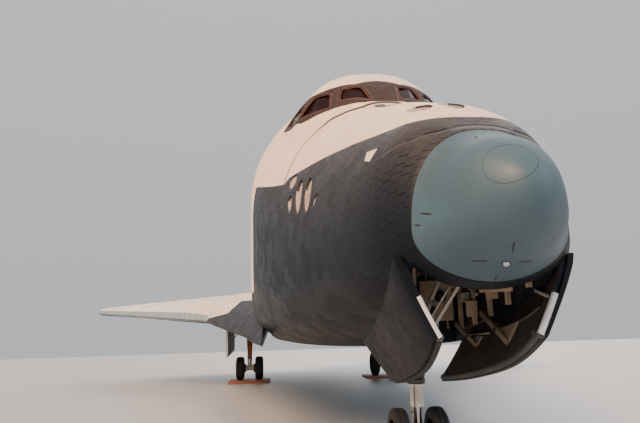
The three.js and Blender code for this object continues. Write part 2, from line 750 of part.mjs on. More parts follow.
function elevon({ from, to, arms }, way) {
  const ring = (y) => {
    const [x, , z] = elevonAxis(y);
    const radius = elevonRadius(y);
    const front = Array.from({ length: 11 }, (_, i) => {
      const angle = THREE.MathUtils.degToRad(90 + 18 * i);
      return [x + radius * Math.cos(angle), way * y, z + radius * Math.sin(angle)];
    });
    const end = wingBottom(y) + 0.35 * radius;
    return [...front, [trailingEdge(y), way * y, end], [trailingEdge(y), way * y, end + 1.6]];
  };
  let solid = loft([ring(from), ring(to)]);
  for (const y of arms) {
    const [x, , z] = elevonAxis(y);
    const half = arm.slot / 2;
    const [near, far] = [way * (y - half), way * (y + half)];
    const span = [Math.min(near, far), Math.max(near, far)];
    const room = armHeight(y) / Math.cos(elevonUp) + 0.35;
    const pinFrom = onHinge(elevonAxis, way, y - half - 1);
    const pinTo = onHinge(elevonAxis, way, y + half + 1);
    solid = solid
      .subtract(box(x - 30, x, ...span, z - 30, z + 30))
      .subtract(rod([x, near, z], [x, far, z], room, undefined, 16))
      .add(rod(pinFrom, pinTo, arm.pinRadius));
  }
  return solid;
}

// Body flap under the main engines
const flap = hinges.flap;
const flapArms = [-75, 0, 75];
const flapArm = { thickness: 3, slot: 4.4, height: 3 };
const flapAxis = (y) => [flap.x, y, flap.z];

function flapLugs() {
  let lugs;
  for (const y of flapArms) {
    const half = flapArm.thickness / 2;
    const lug = hingeArm(flapAxis, 1, flapArm.height, 20, y - half, y + half);
    lugs = lugs ? lugs.add(lug) : lug;
  }
  return lugs;
}

function bodyFlap() {
  const ring = (y) => {
    const front = Array.from({ length: 13 }, (_, i) => {
      const angle = THREE.MathUtils.degToRad(90 + 15 * i);
      return [flap.x + flap.radius * Math.cos(angle), y, flap.z + flap.radius * Math.sin(angle)];
    });
    return [...front, [1613, y, 281], [1613, y, 284]];
  };
  let solid = loft([ring(-flap.halfSpan), ring(flap.halfSpan)]);
  for (const y of flapArms) {
    const half = flapArm.slot / 2;
    const { x, z } = flap;
    solid = solid
      .subtract(box(x - 20, x, y - half, y + half, z - 20, z + 20))
      .subtract(rod([x, y - half, z], [x, y + half, z], flapArm.height + 0.8, undefined, 16))
      .add(rod([x, y - half - 1, z], [x, y + half + 1, z], arm.pinRadius));
  }
  return solid;
}

// Height in the vehicle's own frame of a wheel axle that stands lift above the floor
function axleHeight(x, standing) {
  return (floorBelowDatum + standing - x * Math.sin(noseDown)) / Math.cos(noseDown);
}

const facetFlat = Math.cos(Math.PI / 24);
const noseAxle = axleHeight(noseGear.x, noseGear.wheelRadius * facetFlat);
const mainAxle = axleHeight(mainGear.x, plate.height + seat + mainGear.wheelRadius);
const plumb = noseDown / (2 * Math.PI / 24);

// Tyre of 24 flats turned about the axle; turn brings a flat (0.5) or a corner (0) under it
function tyre({ x, wheelRadius: radius, wheelWidth: width }, y, z, rim, turn) {
  const shape = [
    [rim, -0.36], [0.74 * radius, -0.5], [0.92 * radius, -0.44], [radius, -0.27],
    [radius, 0.27], [0.92 * radius, 0.44], [0.74 * radius, 0.5], [rim, 0.36],
  ];
  const profile = [...shape, shape[0]].map(([r, part]) => [r, part * width]);
  return turned(profile, [x, y, z], [0, 1, 0], 24, turn + plumb);
}

// Two wheel centres on one turning axle
function wheelPair({ x, wheelOffset, wheelWidth }, y, z, rim, axleRadius, turn) {
  const half = 0.34 * wheelWidth;
  let pair = rod([x, y - wheelOffset, z], [x, y + wheelOffset, z], axleRadius);
  for (const way of [1, -1]) {
    const middle = y + way * wheelOffset;
    const face = [[0, half], [0.35 * rim, half], [0.45 * rim, 0.3 * half], [0.86 * rim, 0.3 * half]];
    const inside = [[0, -0.4 * half], [rim - seat, -half], [rim - seat, half]];
    const profile = [...inside, ...face.reverse()].map(([r, out]) => [r, way * out]);
    pair = pair.add(turned(profile, [x, middle, z], [0, 1, 0], 24, turn + plumb));
  }
  return pair;
}

// Nose leg: fixed upper cylinder and braces, and the steered lower part
const strut = { collarTop: 261, collarLow: 254.5, sleeveLow: 242, top: 322 };

function noseLeg() {
  const { x } = noseGear;
  const trunnion = noseWell.half - 0.1;
  return rod([x, 0, strut.collarTop + seat], [x, 0, strut.top], 3.2, undefined, 16)
    .add(rod([x, -trunnion, 318], [x, trunnion, 318], 2.6))
    .add(rod([x, 0, 276], [x - 46, 0, 326], 2))
    .add(rod([x - 46, -14, noseWell.top - seat - 2], [x - 46, 14, noseWell.top - seat - 2], 2))
    .add(box(x - 3, x + 3, -3, 3, 318, noseWell.top - seat));
}

function noseSteering() {
  const { x } = noseGear;
  const sleeve = rod([x, 0, strut.sleeveLow], [x, 0, strut.collarLow + 1], 4, undefined, 16);
  const piston = rod([x, 0, noseAxle], [x, 0, strut.sleeveLow + 1], 2.3, undefined, 16);
  const links = box(x + 2, x + 7, -1.6, 1.6, 228, 231).add(rod([x + 6, 0, 229], [x + 9, 0, 237], 1.3));
  return rod([x, 0, strut.collarLow], [x, 0, strut.collarTop], 5.4, undefined, 16)
    .add(sleeve)
    .add(piston)
    .add(links)
    .add(rod([x + 9, 0, 237], [x + 3, 0, 245], 1.3))
    .add(rod([x, -4.5, noseAxle], [x, 4.5, noseAxle], 3.4, undefined, 16))
    .subtract(rod([x, -6, noseAxle], [x, 6, noseAxle], holeRadius(1.8), undefined, 12, 0.5));
}

function mainLeg(way) {
  const { x, y } = mainGear;
  const side = way * y;
  return rod([x, side, 235], [x, side, 303 - seat], 6, undefined, 16)
    .add(rod([x, side, mainAxle], [x, side, 236], 4, undefined, 16))
    .add(rod([x, side - way * 20, 297], [x, side + way * 20, 297], 3))
    .add(rod([x, side, 238], [x - 60, side, 296], 2.4))
    .add(box(x - 66, x - 54, side - 8, side + 8, 293, 303 - seat))
    .add(rod([x + 4, side, 238], [x + 14, side, 212], 1.6))
    .add(rod([x + 14, side, 212], [x + 2, side, 188], 1.6))
    .add(rod([x, side - 7, mainAxle], [x, side + 7, mainAxle], 5, undefined, 16))
    .subtract(rod([x, side - 9, mainAxle], [x, side + 9, mainAxle], holeRadius(2.8), undefined, 12, 0.5));
}

// Height of the underside at a distance y from the middle
function underside(x, y) {
  const [, bottom, , halfWidth, widest, , squareness] = sampled(bodySections, x);
  return widest - (widest - bottom) * (1 - (y / halfWidth) ** squareness) ** (1 / squareness);
}

// Open gear doors, curved plates that hang inside the long edges of their well
function noseDoor(way) {
  const panel = { top: 3.5, thickness: 2.4, frontDrop: 28, rearDrop: 24, lean: 9.5, edge: noseWell.half - seat };
  const ring = (x) => {
    const top = underside(x, panel.edge) + panel.top;
    const drop = THREE.MathUtils.mapLinear(x, noseWell.from, noseWell.to, panel.frontDrop, panel.rearDrop);
    const steps = [0, 0.25, 0.5, 0.75, 1];
    const outer = steps.map((t) => [panel.edge - panel.lean * t ** 1.25, top - drop * t]);
    const inner = outer.map(([y, z]) => [y - panel.thickness, z + 0.1]).reverse();
    return [...outer, ...inner].map(([y, z]) => [x, way * y, z]);
  };
  return loft([ring(noseWell.from + 1), ring(noseWell.from + 60), ring(noseWell.to - 1)]);
}

function mainDoor(way) {
  const [inner, outer] = [166.8, 170 - seat];
  const top = 275;
  const low = wingBottom(170) - 57;
  const outline = [[1042, top], [1192, top], [1192, low + 3], [1189, low], [1045, low], [1042, low + 3]];
  return prism(outline, 'xz', way > 0 ? inner : -outer, way > 0 ? outer : -inner);
}

// Level plate under a pair of main wheels, turned back from the vehicle's nose-down frame
function wheelPlate(way) {
  const { side, height } = plate;
  const geometry = new THREE.BoxGeometry(side, side, height);
  geometry.translate(0, 0, height / 2 - mainGear.wheelRadius - height - seat).rotateY(noseDown);
  geometry.translate(mainGear.x, way * mainGear.y, mainAxle);
  return solidOf(geometry);
}

add('nose_cap', body(noseTip, capEnd - seat), 'noseGrey');
add('forward_thruster_module', thrusterModule(), 'whiteTile');
add('forward_fuselage', forwardFuselage(), 'blackTile');
add('flight_deck', flightDeck(), 'deckGrey');
add('side_hatch', sideHatch(), 'blackTile');
add('mid_fuselage', midFuselage(), 'whiteTile');
add('aft_fuselage', aftFuselage(), 'whiteTile');
for (const unit of engines) {
  const entry = alongEngine(unit, engine.seatEnd + seat);
  add(unit.name, bell(entry, engineWay(unit).toArray(), engine, 24), 'nozzle');
}
add('fin', fin(), 'whiteTile');
add('rudder_spine', rudderSpine(), 'nozzle');
add('body_flap', bodyFlap(), 'blackTile');
add('nose_gear_leg', noseLeg(), 'gearWhite');
add('nose_gear_steering', noseSteering(), 'gearWhite');
const noseRim = 8;
const mainRim = 10.5;
add('nose_wheels', wheelPair(noseGear, 0, noseAxle, noseRim, 1.8, 0.5), 'wheelMetal');
for (const { name, way } of sides) {
  for (const [place, corners] of Object.entries(windowCorners)) {
    add(`window_${place}_${name}`, windowPane(corners, way), 'glass');
  }
  add(`payload_bay_door_${name}`, bayDoor(way), 'whiteTile');
  add(`orbital_engine_pod_${name}`, pod(way), 'whiteTile');
  add(`orbital_engine_nozzle_${name}`, podBell(way), 'nozzle');
  add(`rudder_panel_${name}`, rudderPanel(way), 'whiteTile');
  add(`wing_${name}`, wing(way), 'whiteTile');
  add(`wing_leading_edge_${name}`, wholeWing(way).intersect(leadingStrip(way, 0)), 'edgeGrey');
  for (const unit of elevons) add(`elevon_${unit.name}_${name}`, elevon(unit, way), 'whiteTile');
  add(`nose_tyre_${name}`, tyre(noseGear, way * noseGear.wheelOffset, noseAxle, noseRim, 0.5), 'tyre');
  add(`nose_gear_door_${name}`, noseDoor(way), 'blackTile');
  add(`main_gear_leg_${name}`, mainLeg(way), 'gearWhite');
  const middle = way * mainGear.y;
  add(`main_wheels_${name}`, wheelPair(mainGear, middle, mainAxle, mainRim, 2.8, 0), 'wheelMetal');
  for (const [place, out] of [['inner', -way], ['outer', way]]) {
    const y = middle + out * mainGear.wheelOffset;
    add(`main_tyre_${place}_${name}`, tyre(mainGear, y, mainAxle, mainRim, 0), 'tyre');
  }
  add(`main_gear_door_${name}`, mainDoor(way), 'blackTile');
  add(`wheel_plate_${name}`, wheelPlate(way), 'plateOrange');
}

// The origin is under the middle of the vehicle's box, on the floor
orbiter.updateMatrixWorld(true);
const reach = new THREE.Box3().setFromObject(orbiter, true);
ship.position.y = -(reach.min.y + reach.max.y) / 2;

export default orbiter;
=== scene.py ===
# Winged orbiter parked on its landing gear: the looks of every piece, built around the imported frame
import math

import bmesh
import bpy
import numpy as np
from mathutils import Matrix, Vector


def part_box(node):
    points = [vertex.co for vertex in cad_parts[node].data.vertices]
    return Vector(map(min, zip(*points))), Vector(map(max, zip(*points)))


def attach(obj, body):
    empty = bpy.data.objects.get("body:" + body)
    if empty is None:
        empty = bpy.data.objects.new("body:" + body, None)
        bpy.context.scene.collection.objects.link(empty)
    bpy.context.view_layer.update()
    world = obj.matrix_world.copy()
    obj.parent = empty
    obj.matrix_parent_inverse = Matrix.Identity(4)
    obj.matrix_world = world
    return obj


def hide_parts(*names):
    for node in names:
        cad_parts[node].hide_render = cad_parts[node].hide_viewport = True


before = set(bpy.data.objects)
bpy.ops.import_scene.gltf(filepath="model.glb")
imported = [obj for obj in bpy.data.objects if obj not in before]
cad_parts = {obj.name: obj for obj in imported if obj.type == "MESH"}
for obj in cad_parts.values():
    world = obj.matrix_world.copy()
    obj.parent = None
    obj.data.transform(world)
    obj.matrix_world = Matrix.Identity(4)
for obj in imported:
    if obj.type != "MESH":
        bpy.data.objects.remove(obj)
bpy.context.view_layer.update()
print("frame loaded:", len(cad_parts), "nodes")

# Stations are in inches, as on the vehicle's own drawings: x aft, y to starboard, z up
inch = 0.0254
parked = {"noseDown": 4.2, "floorBelowDatum": 237.97, "tipX": 236, "tipTop": 336}
tilt = math.radians(parked["noseDown"])
tipRun = parked["tipX"] * math.cos(tilt) - parked["tipTop"] * math.sin(tilt)
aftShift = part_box("nose_cap")[0].y / inch - tipRun
sides = (("right", 1), ("left", -1))


def toRow(points):  # station inches to metres in the frame
    p = np.asarray(points, float)
    along = p[..., 0] * math.cos(tilt) - p[..., 2] * math.sin(tilt) + aftShift
    up = p[..., 0] * math.sin(tilt) + p[..., 2] * math.cos(tilt) - parked["floorBelowDatum"]
    return np.stack([-p[..., 1], along, up], -1) * inch


def toStation(points):
    p = np.asarray(points, float) / inch
    along, up = p[..., 1] - aftShift, p[..., 2] + parked["floorBelowDatum"]
    x = along * math.cos(tilt) + up * math.sin(tilt)
    return np.stack([x, -p[..., 0], up * math.cos(tilt) - along * math.sin(tilt)], -1)


def rowDirection(direction):
    return Vector(toRow(direction) - toRow((0, 0, 0))).normalized()


# Camera first: low in front of the nose, a little to its starboard side, looking up
cameraView = {
    "place": (87.5, 78.6, 300.4),
    "yaw": -4.8,
    "pitch": 10.12,
    "roll": -1.5,
    "focalPixels": 522,
    "imageWidth": 640,
    "sensor": 36,
}


def addCamera(v):
    yaw, pitch, roll = (math.radians(v[k]) for k in ("yaw", "pitch", "roll"))
    ahead = Vector((math.cos(pitch) * math.cos(yaw), math.cos(pitch) * math.sin(yaw), math.sin(pitch)))
    level = ahead.cross(Vector((0, 0, 1))).normalized()
    upright = level.cross(ahead)
    right = level * math.cos(roll) + upright * math.sin(roll)
    up = upright * math.cos(roll) - level * math.sin(roll)
    data = bpy.data.cameras.new("camera")
    data.sensor_width = v["sensor"]
    data.lens = v["focalPixels"] / v["imageWidth"] * v["sensor"]
    data.clip_end = 500
    camera = bpy.data.objects.new("camera", data)
    turn = Matrix([rowDirection(right), rowDirection(up), -rowDirection(ahead)]).transposed()
    camera.matrix_world = Matrix.Translation(Vector(toRow(v["place"]))) @ turn.to_4x4()
    bpy.context.scene.collection.objects.link(camera)
    bpy.context.scene.camera = camera


addCamera(cameraView)

# Outer surface of the body. Columns: station, bottom, top, half width, height of the widest point,
# squareness above it and below it
bodySections = [
    (236, 334, 336, 1, 335, 2, 2),
    (238.5, 327, 342.8, 7.1, 334.5, 2.1, 2),
    (244, 321, 348.8, 12.8, 333.5, 2.15, 1.9),
    (254, 314.6, 356, 19.9, 330.3, 2.19, 1.88),
    (270, 308, 362.9, 28.25, 326.2, 2.19, 1.91),
    (285, 301.8, 374.2, 37.3, 324, 2.6, 2.08),
    (300, 296, 385, 43.6, 323, 2.3, 2.3),
    (330, 288.5, 398.5, 52.8, 323, 2.03, 2.6),
    (360, 282.5, 411, 61.6, 325, 1.92, 2.9),
    (400, 276.5, 425.5, 72.5, 330, 1.9, 3.3),
    (440, 272.5, 440, 82.5, 339, 1.9, 3.8),
    (480, 270, 455, 91, 352, 1.95, 4.4),
    (520, 268.3, 472, 97, 367, 2, 5.2),
    (560, 267.3, 489, 101, 382, 2.1, 6.2),
    (582, 267, 497, 103.5, 389, 2.22, 6.8),
    (640, 267, 500.5, 105, 397, 2.12, 8),
    (700, 267, 501.5, 105.5, 398, 2, 8),
    (1307, 267, 501.5, 105.5, 398, 2, 8),
    (1400, 268.5, 501.5, 105.5, 398, 2, 8),
    (1540, 278, 501.5, 105.5, 398, 2, 8),
]
# Flight deck bulge over it: station, top, half width
canopySections = [
    (405, 380, 30),
    (424, 428, 34),
    (432, 440, 42.5),
    (445, 453.5, 51),
    (460, 467, 59),
    (475, 479, 67),
    (490, 488, 74),
    (510, 494.5, 76.5),
    (540, 498.5, 82),
    (582, 500, 90),
]
hull = {"squareness": 2.56, "fadeEnd": 640, "blend": 40, "smoothUntil": (420, 460), "tipStart": 235.9}


def between(value, low, high):  # 0 below low, 1 above high, a smooth step in between
    t = np.clip((np.asarray(value, float) - low) / (high - low), 0, 1)
    return t * t * (3 - 2 * t)


def steadyCurve(table, stations):
    rows = np.array(table, float)
    gaps = np.diff(rows[:, 0])[:, None]
    slopes = np.diff(rows, axis=0) / gaps
    before, after = slopes[:-1], slopes[1:]
    product = before * after
    middle = np.where(product > 0, 2 * product / np.where(product > 0, before + after, 1), 0)
    tangents = np.vstack([slopes[:1], middle, slopes[-1:]])
    at = np.clip(stations, rows[0, 0], rows[-1, 0])
    i = np.clip(np.searchsorted(rows[:, 0], at) - 1, 0, len(rows) - 2)
    t = ((at - rows[i, 0]) / gaps[i, 0])[:, None]
    return (
        (2 * t**3 - 3 * t**2 + 1) * rows[i]
        + (t**3 - 2 * t**2 + t) * gaps[i] * tangents[i]
        + (3 * t**2 - 2 * t**3) * rows[i + 1]
        + (t**3 - t**2) * gaps[i] * tangents[i + 1]
    )


def freeCurve(table, stations):  # natural spline over the square root of the distance from the tip
    rows = np.array([r for r in table if r[0] <= 700], float)
    root = lambda x: np.sqrt(np.maximum(x - hull["tipStart"], 0))
    knots = root(rows[:, 0])
    gap, count = np.diff(knots), len(knots)
    system, load = np.eye(count), np.zeros_like(rows)
    for k in range(1, count - 1):
        system[k, k - 1 : k + 2] = gap[k - 1], 2 * (gap[k - 1] + gap[k]), gap[k]
        load[k] = 6 * ((rows[k + 1] - rows[k]) / gap[k] - (rows[k] - rows[k - 1]) / gap[k - 1])
    bend = np.linalg.solve(system, load)
    u = np.clip(root(stations), knots[0], knots[-1])
    i = np.clip(np.searchsorted(knots, u) - 1, 0, count - 2)
    a, b = ((knots[i + 1] - u) / gap[i])[:, None], ((u - knots[i]) / gap[i])[:, None]
    curve = ((a**3 - a) * bend[i] + (b**3 - b) * bend[i + 1]) * (gap[i] ** 2)[:, None] / 6
    return a * rows[i] + b * rows[i + 1] + curve


hullStations = 236 + np.linspace(0, math.sqrt(1304), 4000) ** 2
bodyTable = steadyCurve(bodySections, hullStations)
smoothness = 1 - between(hullStations, *hull["smoothUntil"])[:, None]
bodyTable = bodyTable * (1 - smoothness) + freeCurve(bodySections, hullStations) * smoothness
canopyTable = steadyCurve(canopySections, hullStations)


def column(table, c, x):
    return np.interp(x, hullStations, table[:, c])


def oval(angle, halfWidth, halfHeight, squareness):
    across = np.abs(np.cos(angle) / halfWidth) ** squareness
    up = np.abs(np.sin(angle) / halfHeight) ** squareness
    return (across + up) ** (-1 / squareness)


def widestHeight(x):
    return column(bodyTable, 4, x)


def hullRadius(x, angle):
    bottom, top, half, widest, squareTop, squareLow = (column(bodyTable, c, x) for c in range(1, 7))
    upper = np.sin(angle) >= 0
    height = np.where(upper, top - widest, widest - bottom)
    radius = oval(angle, half, height, np.where(upper, squareTop, squareLow))
    rise = np.maximum(column(canopyTable, 1, x) - widest, 1)
    bulge = oval(angle, column(canopyTable, 2, x), rise, hull["squareness"])
    bulge = bulge * np.clip((hull["fadeEnd"] - x) / (hull["fadeEnd"] - 582), 0, 1)
    inCanopy = upper & (x > canopySections[0][0]) & (x < hull["fadeEnd"])
    blended = (radius ** hull["blend"] + np.maximum(bulge, 1) ** hull["blend"]) ** (1 / hull["blend"])
    return np.where(inCanopy, blended, radius)


def hullPoint(x, degrees, out=0.0):  # angle from starboard (0) over the top (90) to port (180)
    x, angle = np.broadcast_arrays(np.asarray(x, float), np.radians(np.asarray(degrees, float)))
    r = hullRadius(x, angle) + out
    return np.stack([x, r * np.cos(angle), widestHeight(x) + r * np.sin(angle)], -1)


def underside(x, y):  # height of the body's lower face at a distance from the middle
    bottom, half, widest, square = (column(bodyTable, c, x) for c in (1, 3, 4, 6))
    return widest - (widest - bottom) * (1 - (y / half) ** square) ** (1 / square)


def hullPlace(points):  # station, angle in degrees from the near side's horizontal, distance out of the hull
    p = np.asarray(points, float)
    y, z = np.abs(p[..., 1]), p[..., 2] - widestHeight(p[..., 0])
    angle = np.arctan2(z, y)
    return p[..., 0], np.degrees(angle), np.hypot(y, z) - hullRadius(p[..., 0], angle)


girthStations = np.linspace(236, 1540, 327)
girthAngles = np.linspace(-90, 90, 91)


def girthTable():
    x, a = np.meshgrid(girthStations, girthAngles, indexing="ij")
    steps = np.linalg.norm(np.diff(hullPoint(x, a), axis=1), axis=-1)
    total = np.concatenate([np.zeros((len(girthStations), 1)), np.cumsum(steps, 1)], 1)
    return total - total[:, [45]]


girths = girthTable()


def girth(x, degrees):  # inches along the section from the widest line, up positive
    i = (np.clip(x, 236, 1540) - 236) / (girthStations[1] - girthStations[0])
    j = (np.clip(degrees, -90, 90) + 90) / 2
    i0, j0 = np.minimum(i.astype(int), 325), np.minimum(j.astype(int), 89)
    s, t = i - i0, j - j0
    low = girths[i0, j0] * (1 - s) + girths[i0 + 1, j0] * s
    high = girths[i0, j0 + 1] * (1 - s) + girths[i0 + 1, j0 + 1] * s
    return low * (1 - t) + high * t


def insidePolygon(points, outline):  # signed distance, positive inside
    p = np.asarray(points, float)[:, None, :]
    a = np.array(outline, float)[None]
    b = np.roll(a, -1, axis=1)
    edge = b - a
    t = np.clip(((p - a) * edge).sum(-1) / (edge**2).sum(-1), 0, 1)
    distance = np.linalg.norm(p - a - edge * t[..., None], axis=-1).min(1)
    over = (a[..., 1] > p[..., 1]) != (b[..., 1] > p[..., 1])
    rise = np.where(edge[..., 1] == 0, 1, edge[..., 1])
    cross = a[..., 0] + (p[..., 1] - a[..., 1]) * edge[..., 0] / rise
    return np.where((over & (p[..., 0] < cross)).sum(1) % 2 == 1, distance, -distance)


# Materials
def srgb(code):
    parts = [int(code[k : k + 2], 16) / 255 for k in (1, 3, 5)]
    linear = [c / 12.92 if c <= 0.04045 else ((c + 0.055) / 1.055) ** 2.4 for c in parts]
    return (*linear, 1)


def addNode(tree, kind, settings=None, links=None):
    node = tree.nodes.new("ShaderNode" + kind)
    for key, value in (settings or {}).items():
        if isinstance(key, str) and key[0].islower():
            setattr(node, key, value)
        else:
            node.inputs[key].default_value = value
    for socket, source in (links or {}).items():
        tree.links.new(source, node.inputs[socket])
    return node


finish = {}


def newMaterial(name, roughness=0.5, metallic=0.0, ior=1.5):
    material = bpy.data.materials.new(name)
    material.use_nodes = True
    tree = material.node_tree
    shader = tree.nodes["Principled BSDF"]
    shader.inputs["Roughness"].default_value = roughness
    shader.inputs["Metallic"].default_value = metallic
    shader.inputs["IOR"].default_value = ior
    finish[name] = material
    return tree, shader


def mixColours(tree, factor, low, high):
    settings = {"data_type": "RGBA"}
    links = {}
    for socket, value in ((0, factor), (6, low), (7, high)):
        if isinstance(value, bpy.types.NodeSocket):
            links[socket] = value
        else:
            settings[socket] = value
    return addNode(tree, "Mix", settings, links).outputs[2]


def ramp(tree, source, low, high, fromValue=0.0, toValue=1.0):
    settings = {"From Min": low, "From Max": high, "To Min": fromValue, "To Max": toValue}
    return addNode(tree, "MapRange", settings, {"Value": source}).outputs["Result"]


def reckon(tree, operation, a, b=None):
    settings, links = {"operation": operation}, {}
    for socket, value in ((0, a), (1, b)):
        if isinstance(value, bpy.types.NodeSocket):
            links[socket] = value
        elif value is not None:
            settings[socket] = value
    return addNode(tree, "Math", settings, links).outputs[0]


def cloudiness(tree, millimetres, detail=4.0, roughness=0.6):
    settings = {"Scale": 1000 / millimetres, "Detail": detail, "Roughness": roughness}
    place = addNode(tree, "TexCoord").outputs["Object"]
    return addNode(tree, "TexNoise", settings, {"Vector": place}).outputs["Fac"]


def skinParts(tree):
    skin = addNode(tree, "UVMap", {"uv_map": "skin"}).outputs[0]
    return addNode(tree, "SeparateXYZ", None, {0: skin})


# Squares on the "skin" map, which is in metres: each column of them is set half a square off its
# neighbour. Gives the lines between columns, the short lines inside a column, and a number a square
def squareLayout(tree, millimetres, gap, stagger=0.5):
    size = millimetres / 1000
    parts = skinParts(tree)
    across = reckon(tree, "DIVIDE", parts.outputs[0], size)
    columnPart = reckon(tree, "FLOOR", across)
    half = reckon(tree, "MULTIPLY", reckon(tree, "FLOORED_MODULO", columnPart, 2.0), stagger)
    along = reckon(tree, "ADD", reckon(tree, "DIVIDE", parts.outputs[1], size), half)
    square = reckon(tree, "FLOOR", along)
    lines = []
    for whole, part in ((across, columnPart), (along, square)):
        share = reckon(tree, "SUBTRACT", whole, part)
        middle = reckon(tree, "ABSOLUTE", reckon(tree, "SUBTRACT", share, 0.5))
        lines.append(ramp(tree, middle, 0.5 - gap / millimetres, 0.5 - 0.35 * gap / millimetres))
    spot = addNode(tree, "CombineXYZ", None, {0: columnPart, 1: square}).outputs[0]
    number = addNode(tree, "TexWhiteNoise", {"noise_dimensions": "2D"}, {"Vector": spot}).outputs["Value"]
    return lines[0], lines[1], number


def attribute(tree, name):
    return addNode(tree, "Attribute", {"attribute_name": name}).outputs["Fac"]


def bumped(tree, shader, height, distance, strength=1.0):
    bump = addNode(tree, "Bump", {"Strength": strength, "Distance": distance}, {"Height": height})
    tree.links.new(bump.outputs[0], shader.inputs["Normal"])


# Silica tiles: sintered glass fibre blocks with a fired glaze, black below and white above. The glaze gives
# the black ones a soft eggshell sheen, the gaps between them read as short dark dashes, and years of
# weather leave paler smears. The "dark" field on the mesh is inches into the black area.
tiles = {
    "black": "#0e131b",
    "blackSmear": "#1b222d",
    "topLightAndDust": "#5a5352",
    "blackGap": "#050608",
    "white": "#fee7d3",
    "whiteShade": "#f2d6c2",
    "whiteGap": "#a58f80",
    "blackTileSize": 100,
    "whiteTileSize": 203,
    "gap": 9,
}


def tileMaterial(name, t, tone, seams=False):
    tree, shader = newMaterial(name, {"black": 0.46, "white": 0.62}.get(tone, 0.5))
    shader.inputs["Specular IOR Level"].default_value = 0.18
    smear = cloudiness(tree, 900, 6, 0.62)
    fine = cloudiness(tree, 60, 5, 0.7)
    isDark = ramp(tree, attribute(tree, "dark"), -0.15, 0.15) if tone == "field" else float(tone == "black")
    if tone != "white":
        columnGap, shortGap, number = squareLayout(tree, t["blackTileSize"], t["gap"])
        shown = ramp(tree, number, 0.2, 0.55, 0.1, 1.0)
        gaps = reckon(tree, "MULTIPLY", shortGap, shown)
        gaps = reckon(tree, "MAXIMUM", gaps, reckon(tree, "MULTIPLY", columnGap, 0.3))
        smeared = reckon(tree, "MULTIPLY", ramp(tree, smear, 0.42, 0.72), 0.55)
        black = mixColours(tree, smeared, srgb(t["black"]), srgb(t["blackSmear"]))
        facing = addNode(tree, "SeparateXYZ", None, {0: addNode(tree, "NewGeometry").outputs["Normal"]}).outputs[2]
        # faces turned upward are mixed towards a paler colour: painted light from above, together with dust settled on
        # them
        black = mixColours(
            tree, ramp(tree, facing, -0.05, 0.8, 0, 0.8 if tone == "field" else 0.2), black, srgb(t["topLightAndDust"])
        )
        black = mixColours(tree, ramp(tree, number, 0, 1, 0, 0.3), black, srgb(t["blackSmear"]))
        black = mixColours(tree, ramp(tree, fine, 0.5, 0.8, 0, 0.25), black, srgb(t["blackGap"]))
        colour = black = mixColours(tree, gaps, black, srgb(t["blackGap"]))
        height = blackHeight = reckon(tree, "SUBTRACT", ramp(tree, number, 0, 1, 0, 0.35), gaps)
    if tone != "black":
        whiteColumn, whiteShort, whiteNumber = squareLayout(tree, t["whiteTileSize"], t["gap"])
        whiteGaps = reckon(tree, "MAXIMUM", whiteColumn, whiteShort)
        white = mixColours(tree, ramp(tree, smear, 0.4, 0.75, 0, 0.7), srgb(t["white"]), srgb(t["whiteShade"]))
        white = mixColours(tree, ramp(tree, whiteNumber, 0, 1, 0, 0.35), white, srgb(t["whiteShade"]))
        colour = white = mixColours(tree, reckon(tree, "MULTIPLY", whiteGaps, 0.4), white, srgb(t["whiteGap"]))
        height = whiteHeight = reckon(tree, "MULTIPLY", whiteGaps, -0.7)
        number = whiteNumber
    if tone == "field":
        colour = mixColours(tree, isDark, white, black)
        height = addNode(tree, "Mix", {}, {0: isDark, 2: whiteHeight, 3: blackHeight}).outputs[0]
    if seams:  # the line where the thruster module ends, and the windshield surround with its white brow
        line = ramp(tree, reckon(tree, "ABSOLUTE", attribute(tree, "aftOfSeam")), 0.8, 1.5, 0.95, 0)
        second = reckon(tree, "ABSOLUTE", reckon(tree, "ADD", attribute(tree, "aftOfSeam"), 14.0))
        line = reckon(tree, "MAXIMUM", line, ramp(tree, second, 0.15, 0.35, 0.5, 0))
        colour = mixColours(tree, line, colour, srgb("#3a241d"))
        frameColour = mixColours(tree, ramp(tree, fine, 0.3, 0.7), srgb("#3a2d27"), srgb("#463831"))
        colour = mixColours(tree, ramp(tree, attribute(tree, "surround"), -0.1, 0.1), colour, frameColour)
        height = reckon(tree, "SUBTRACT", height, line)
    tree.links.new(colour, shader.inputs["Base Color"])
    if tone == "field":
        rough = addNode(tree, "Mix", {2: 0.62, 3: 0.44}, {0: isDark}).outputs[0]
    else:
        rough = ramp(tree, smear, 0.3, 0.7, *{"black": (0.4, 0.5), "white": (0.58, 0.68)}[tone])
    rough = reckon(tree, "ADD", rough, ramp(tree, number, 0, 1, -0.05, 0.08))
    tree.links.new(rough, shader.inputs["Roughness"])
    bumped(tree, shader, height, 0.004, 0.6)


tileMaterial("silicaTile", tiles, "field")
tileMaterial("silicaTileForward", tiles, "field", seams=True)
tileMaterial("blackSilicaTile", tiles, "black")
tileMaterial("whiteSilicaTile", tiles, "white")

# Sheet goods laid edge to edge: colour, shade, line between sheets, sheet size in mm, line width, roughness,
# metallic and how far the surface waves
sheetGoods = {
    # needled felt with a white rubber coat, laid in sheets: soft low waves and fine butt joints
    "coatedFelt": ("#ece5dc", "#d8cfc5", "#9a9188", 914, 9, 0.7, 0.0, 0.004),
    # glass cloth liner quilted to the bay's walls: beige white, visible stitching squares
    "glassCloth": ("#cfc8b8", "#b3ab9a", "#857d6e", 254, 8, 0.85, 0.0, 0.012),
    # silvered plastic film on the radiators: mirror-like with a slight haze and straight tape joints
    "silveredFilm": ("#c9cdd0", "#a9aeb3", "#70757a", 610, 6, 0.24, 0.75, 0.003),
    # quilted silica blanket round the engine mounts and base: off-white, square stitching
    "quiltedBlanket": ("#c9c3b6", "#a49c8e", "#6f685c", 76, 6, 0.85, 0.0, 0.01),
}


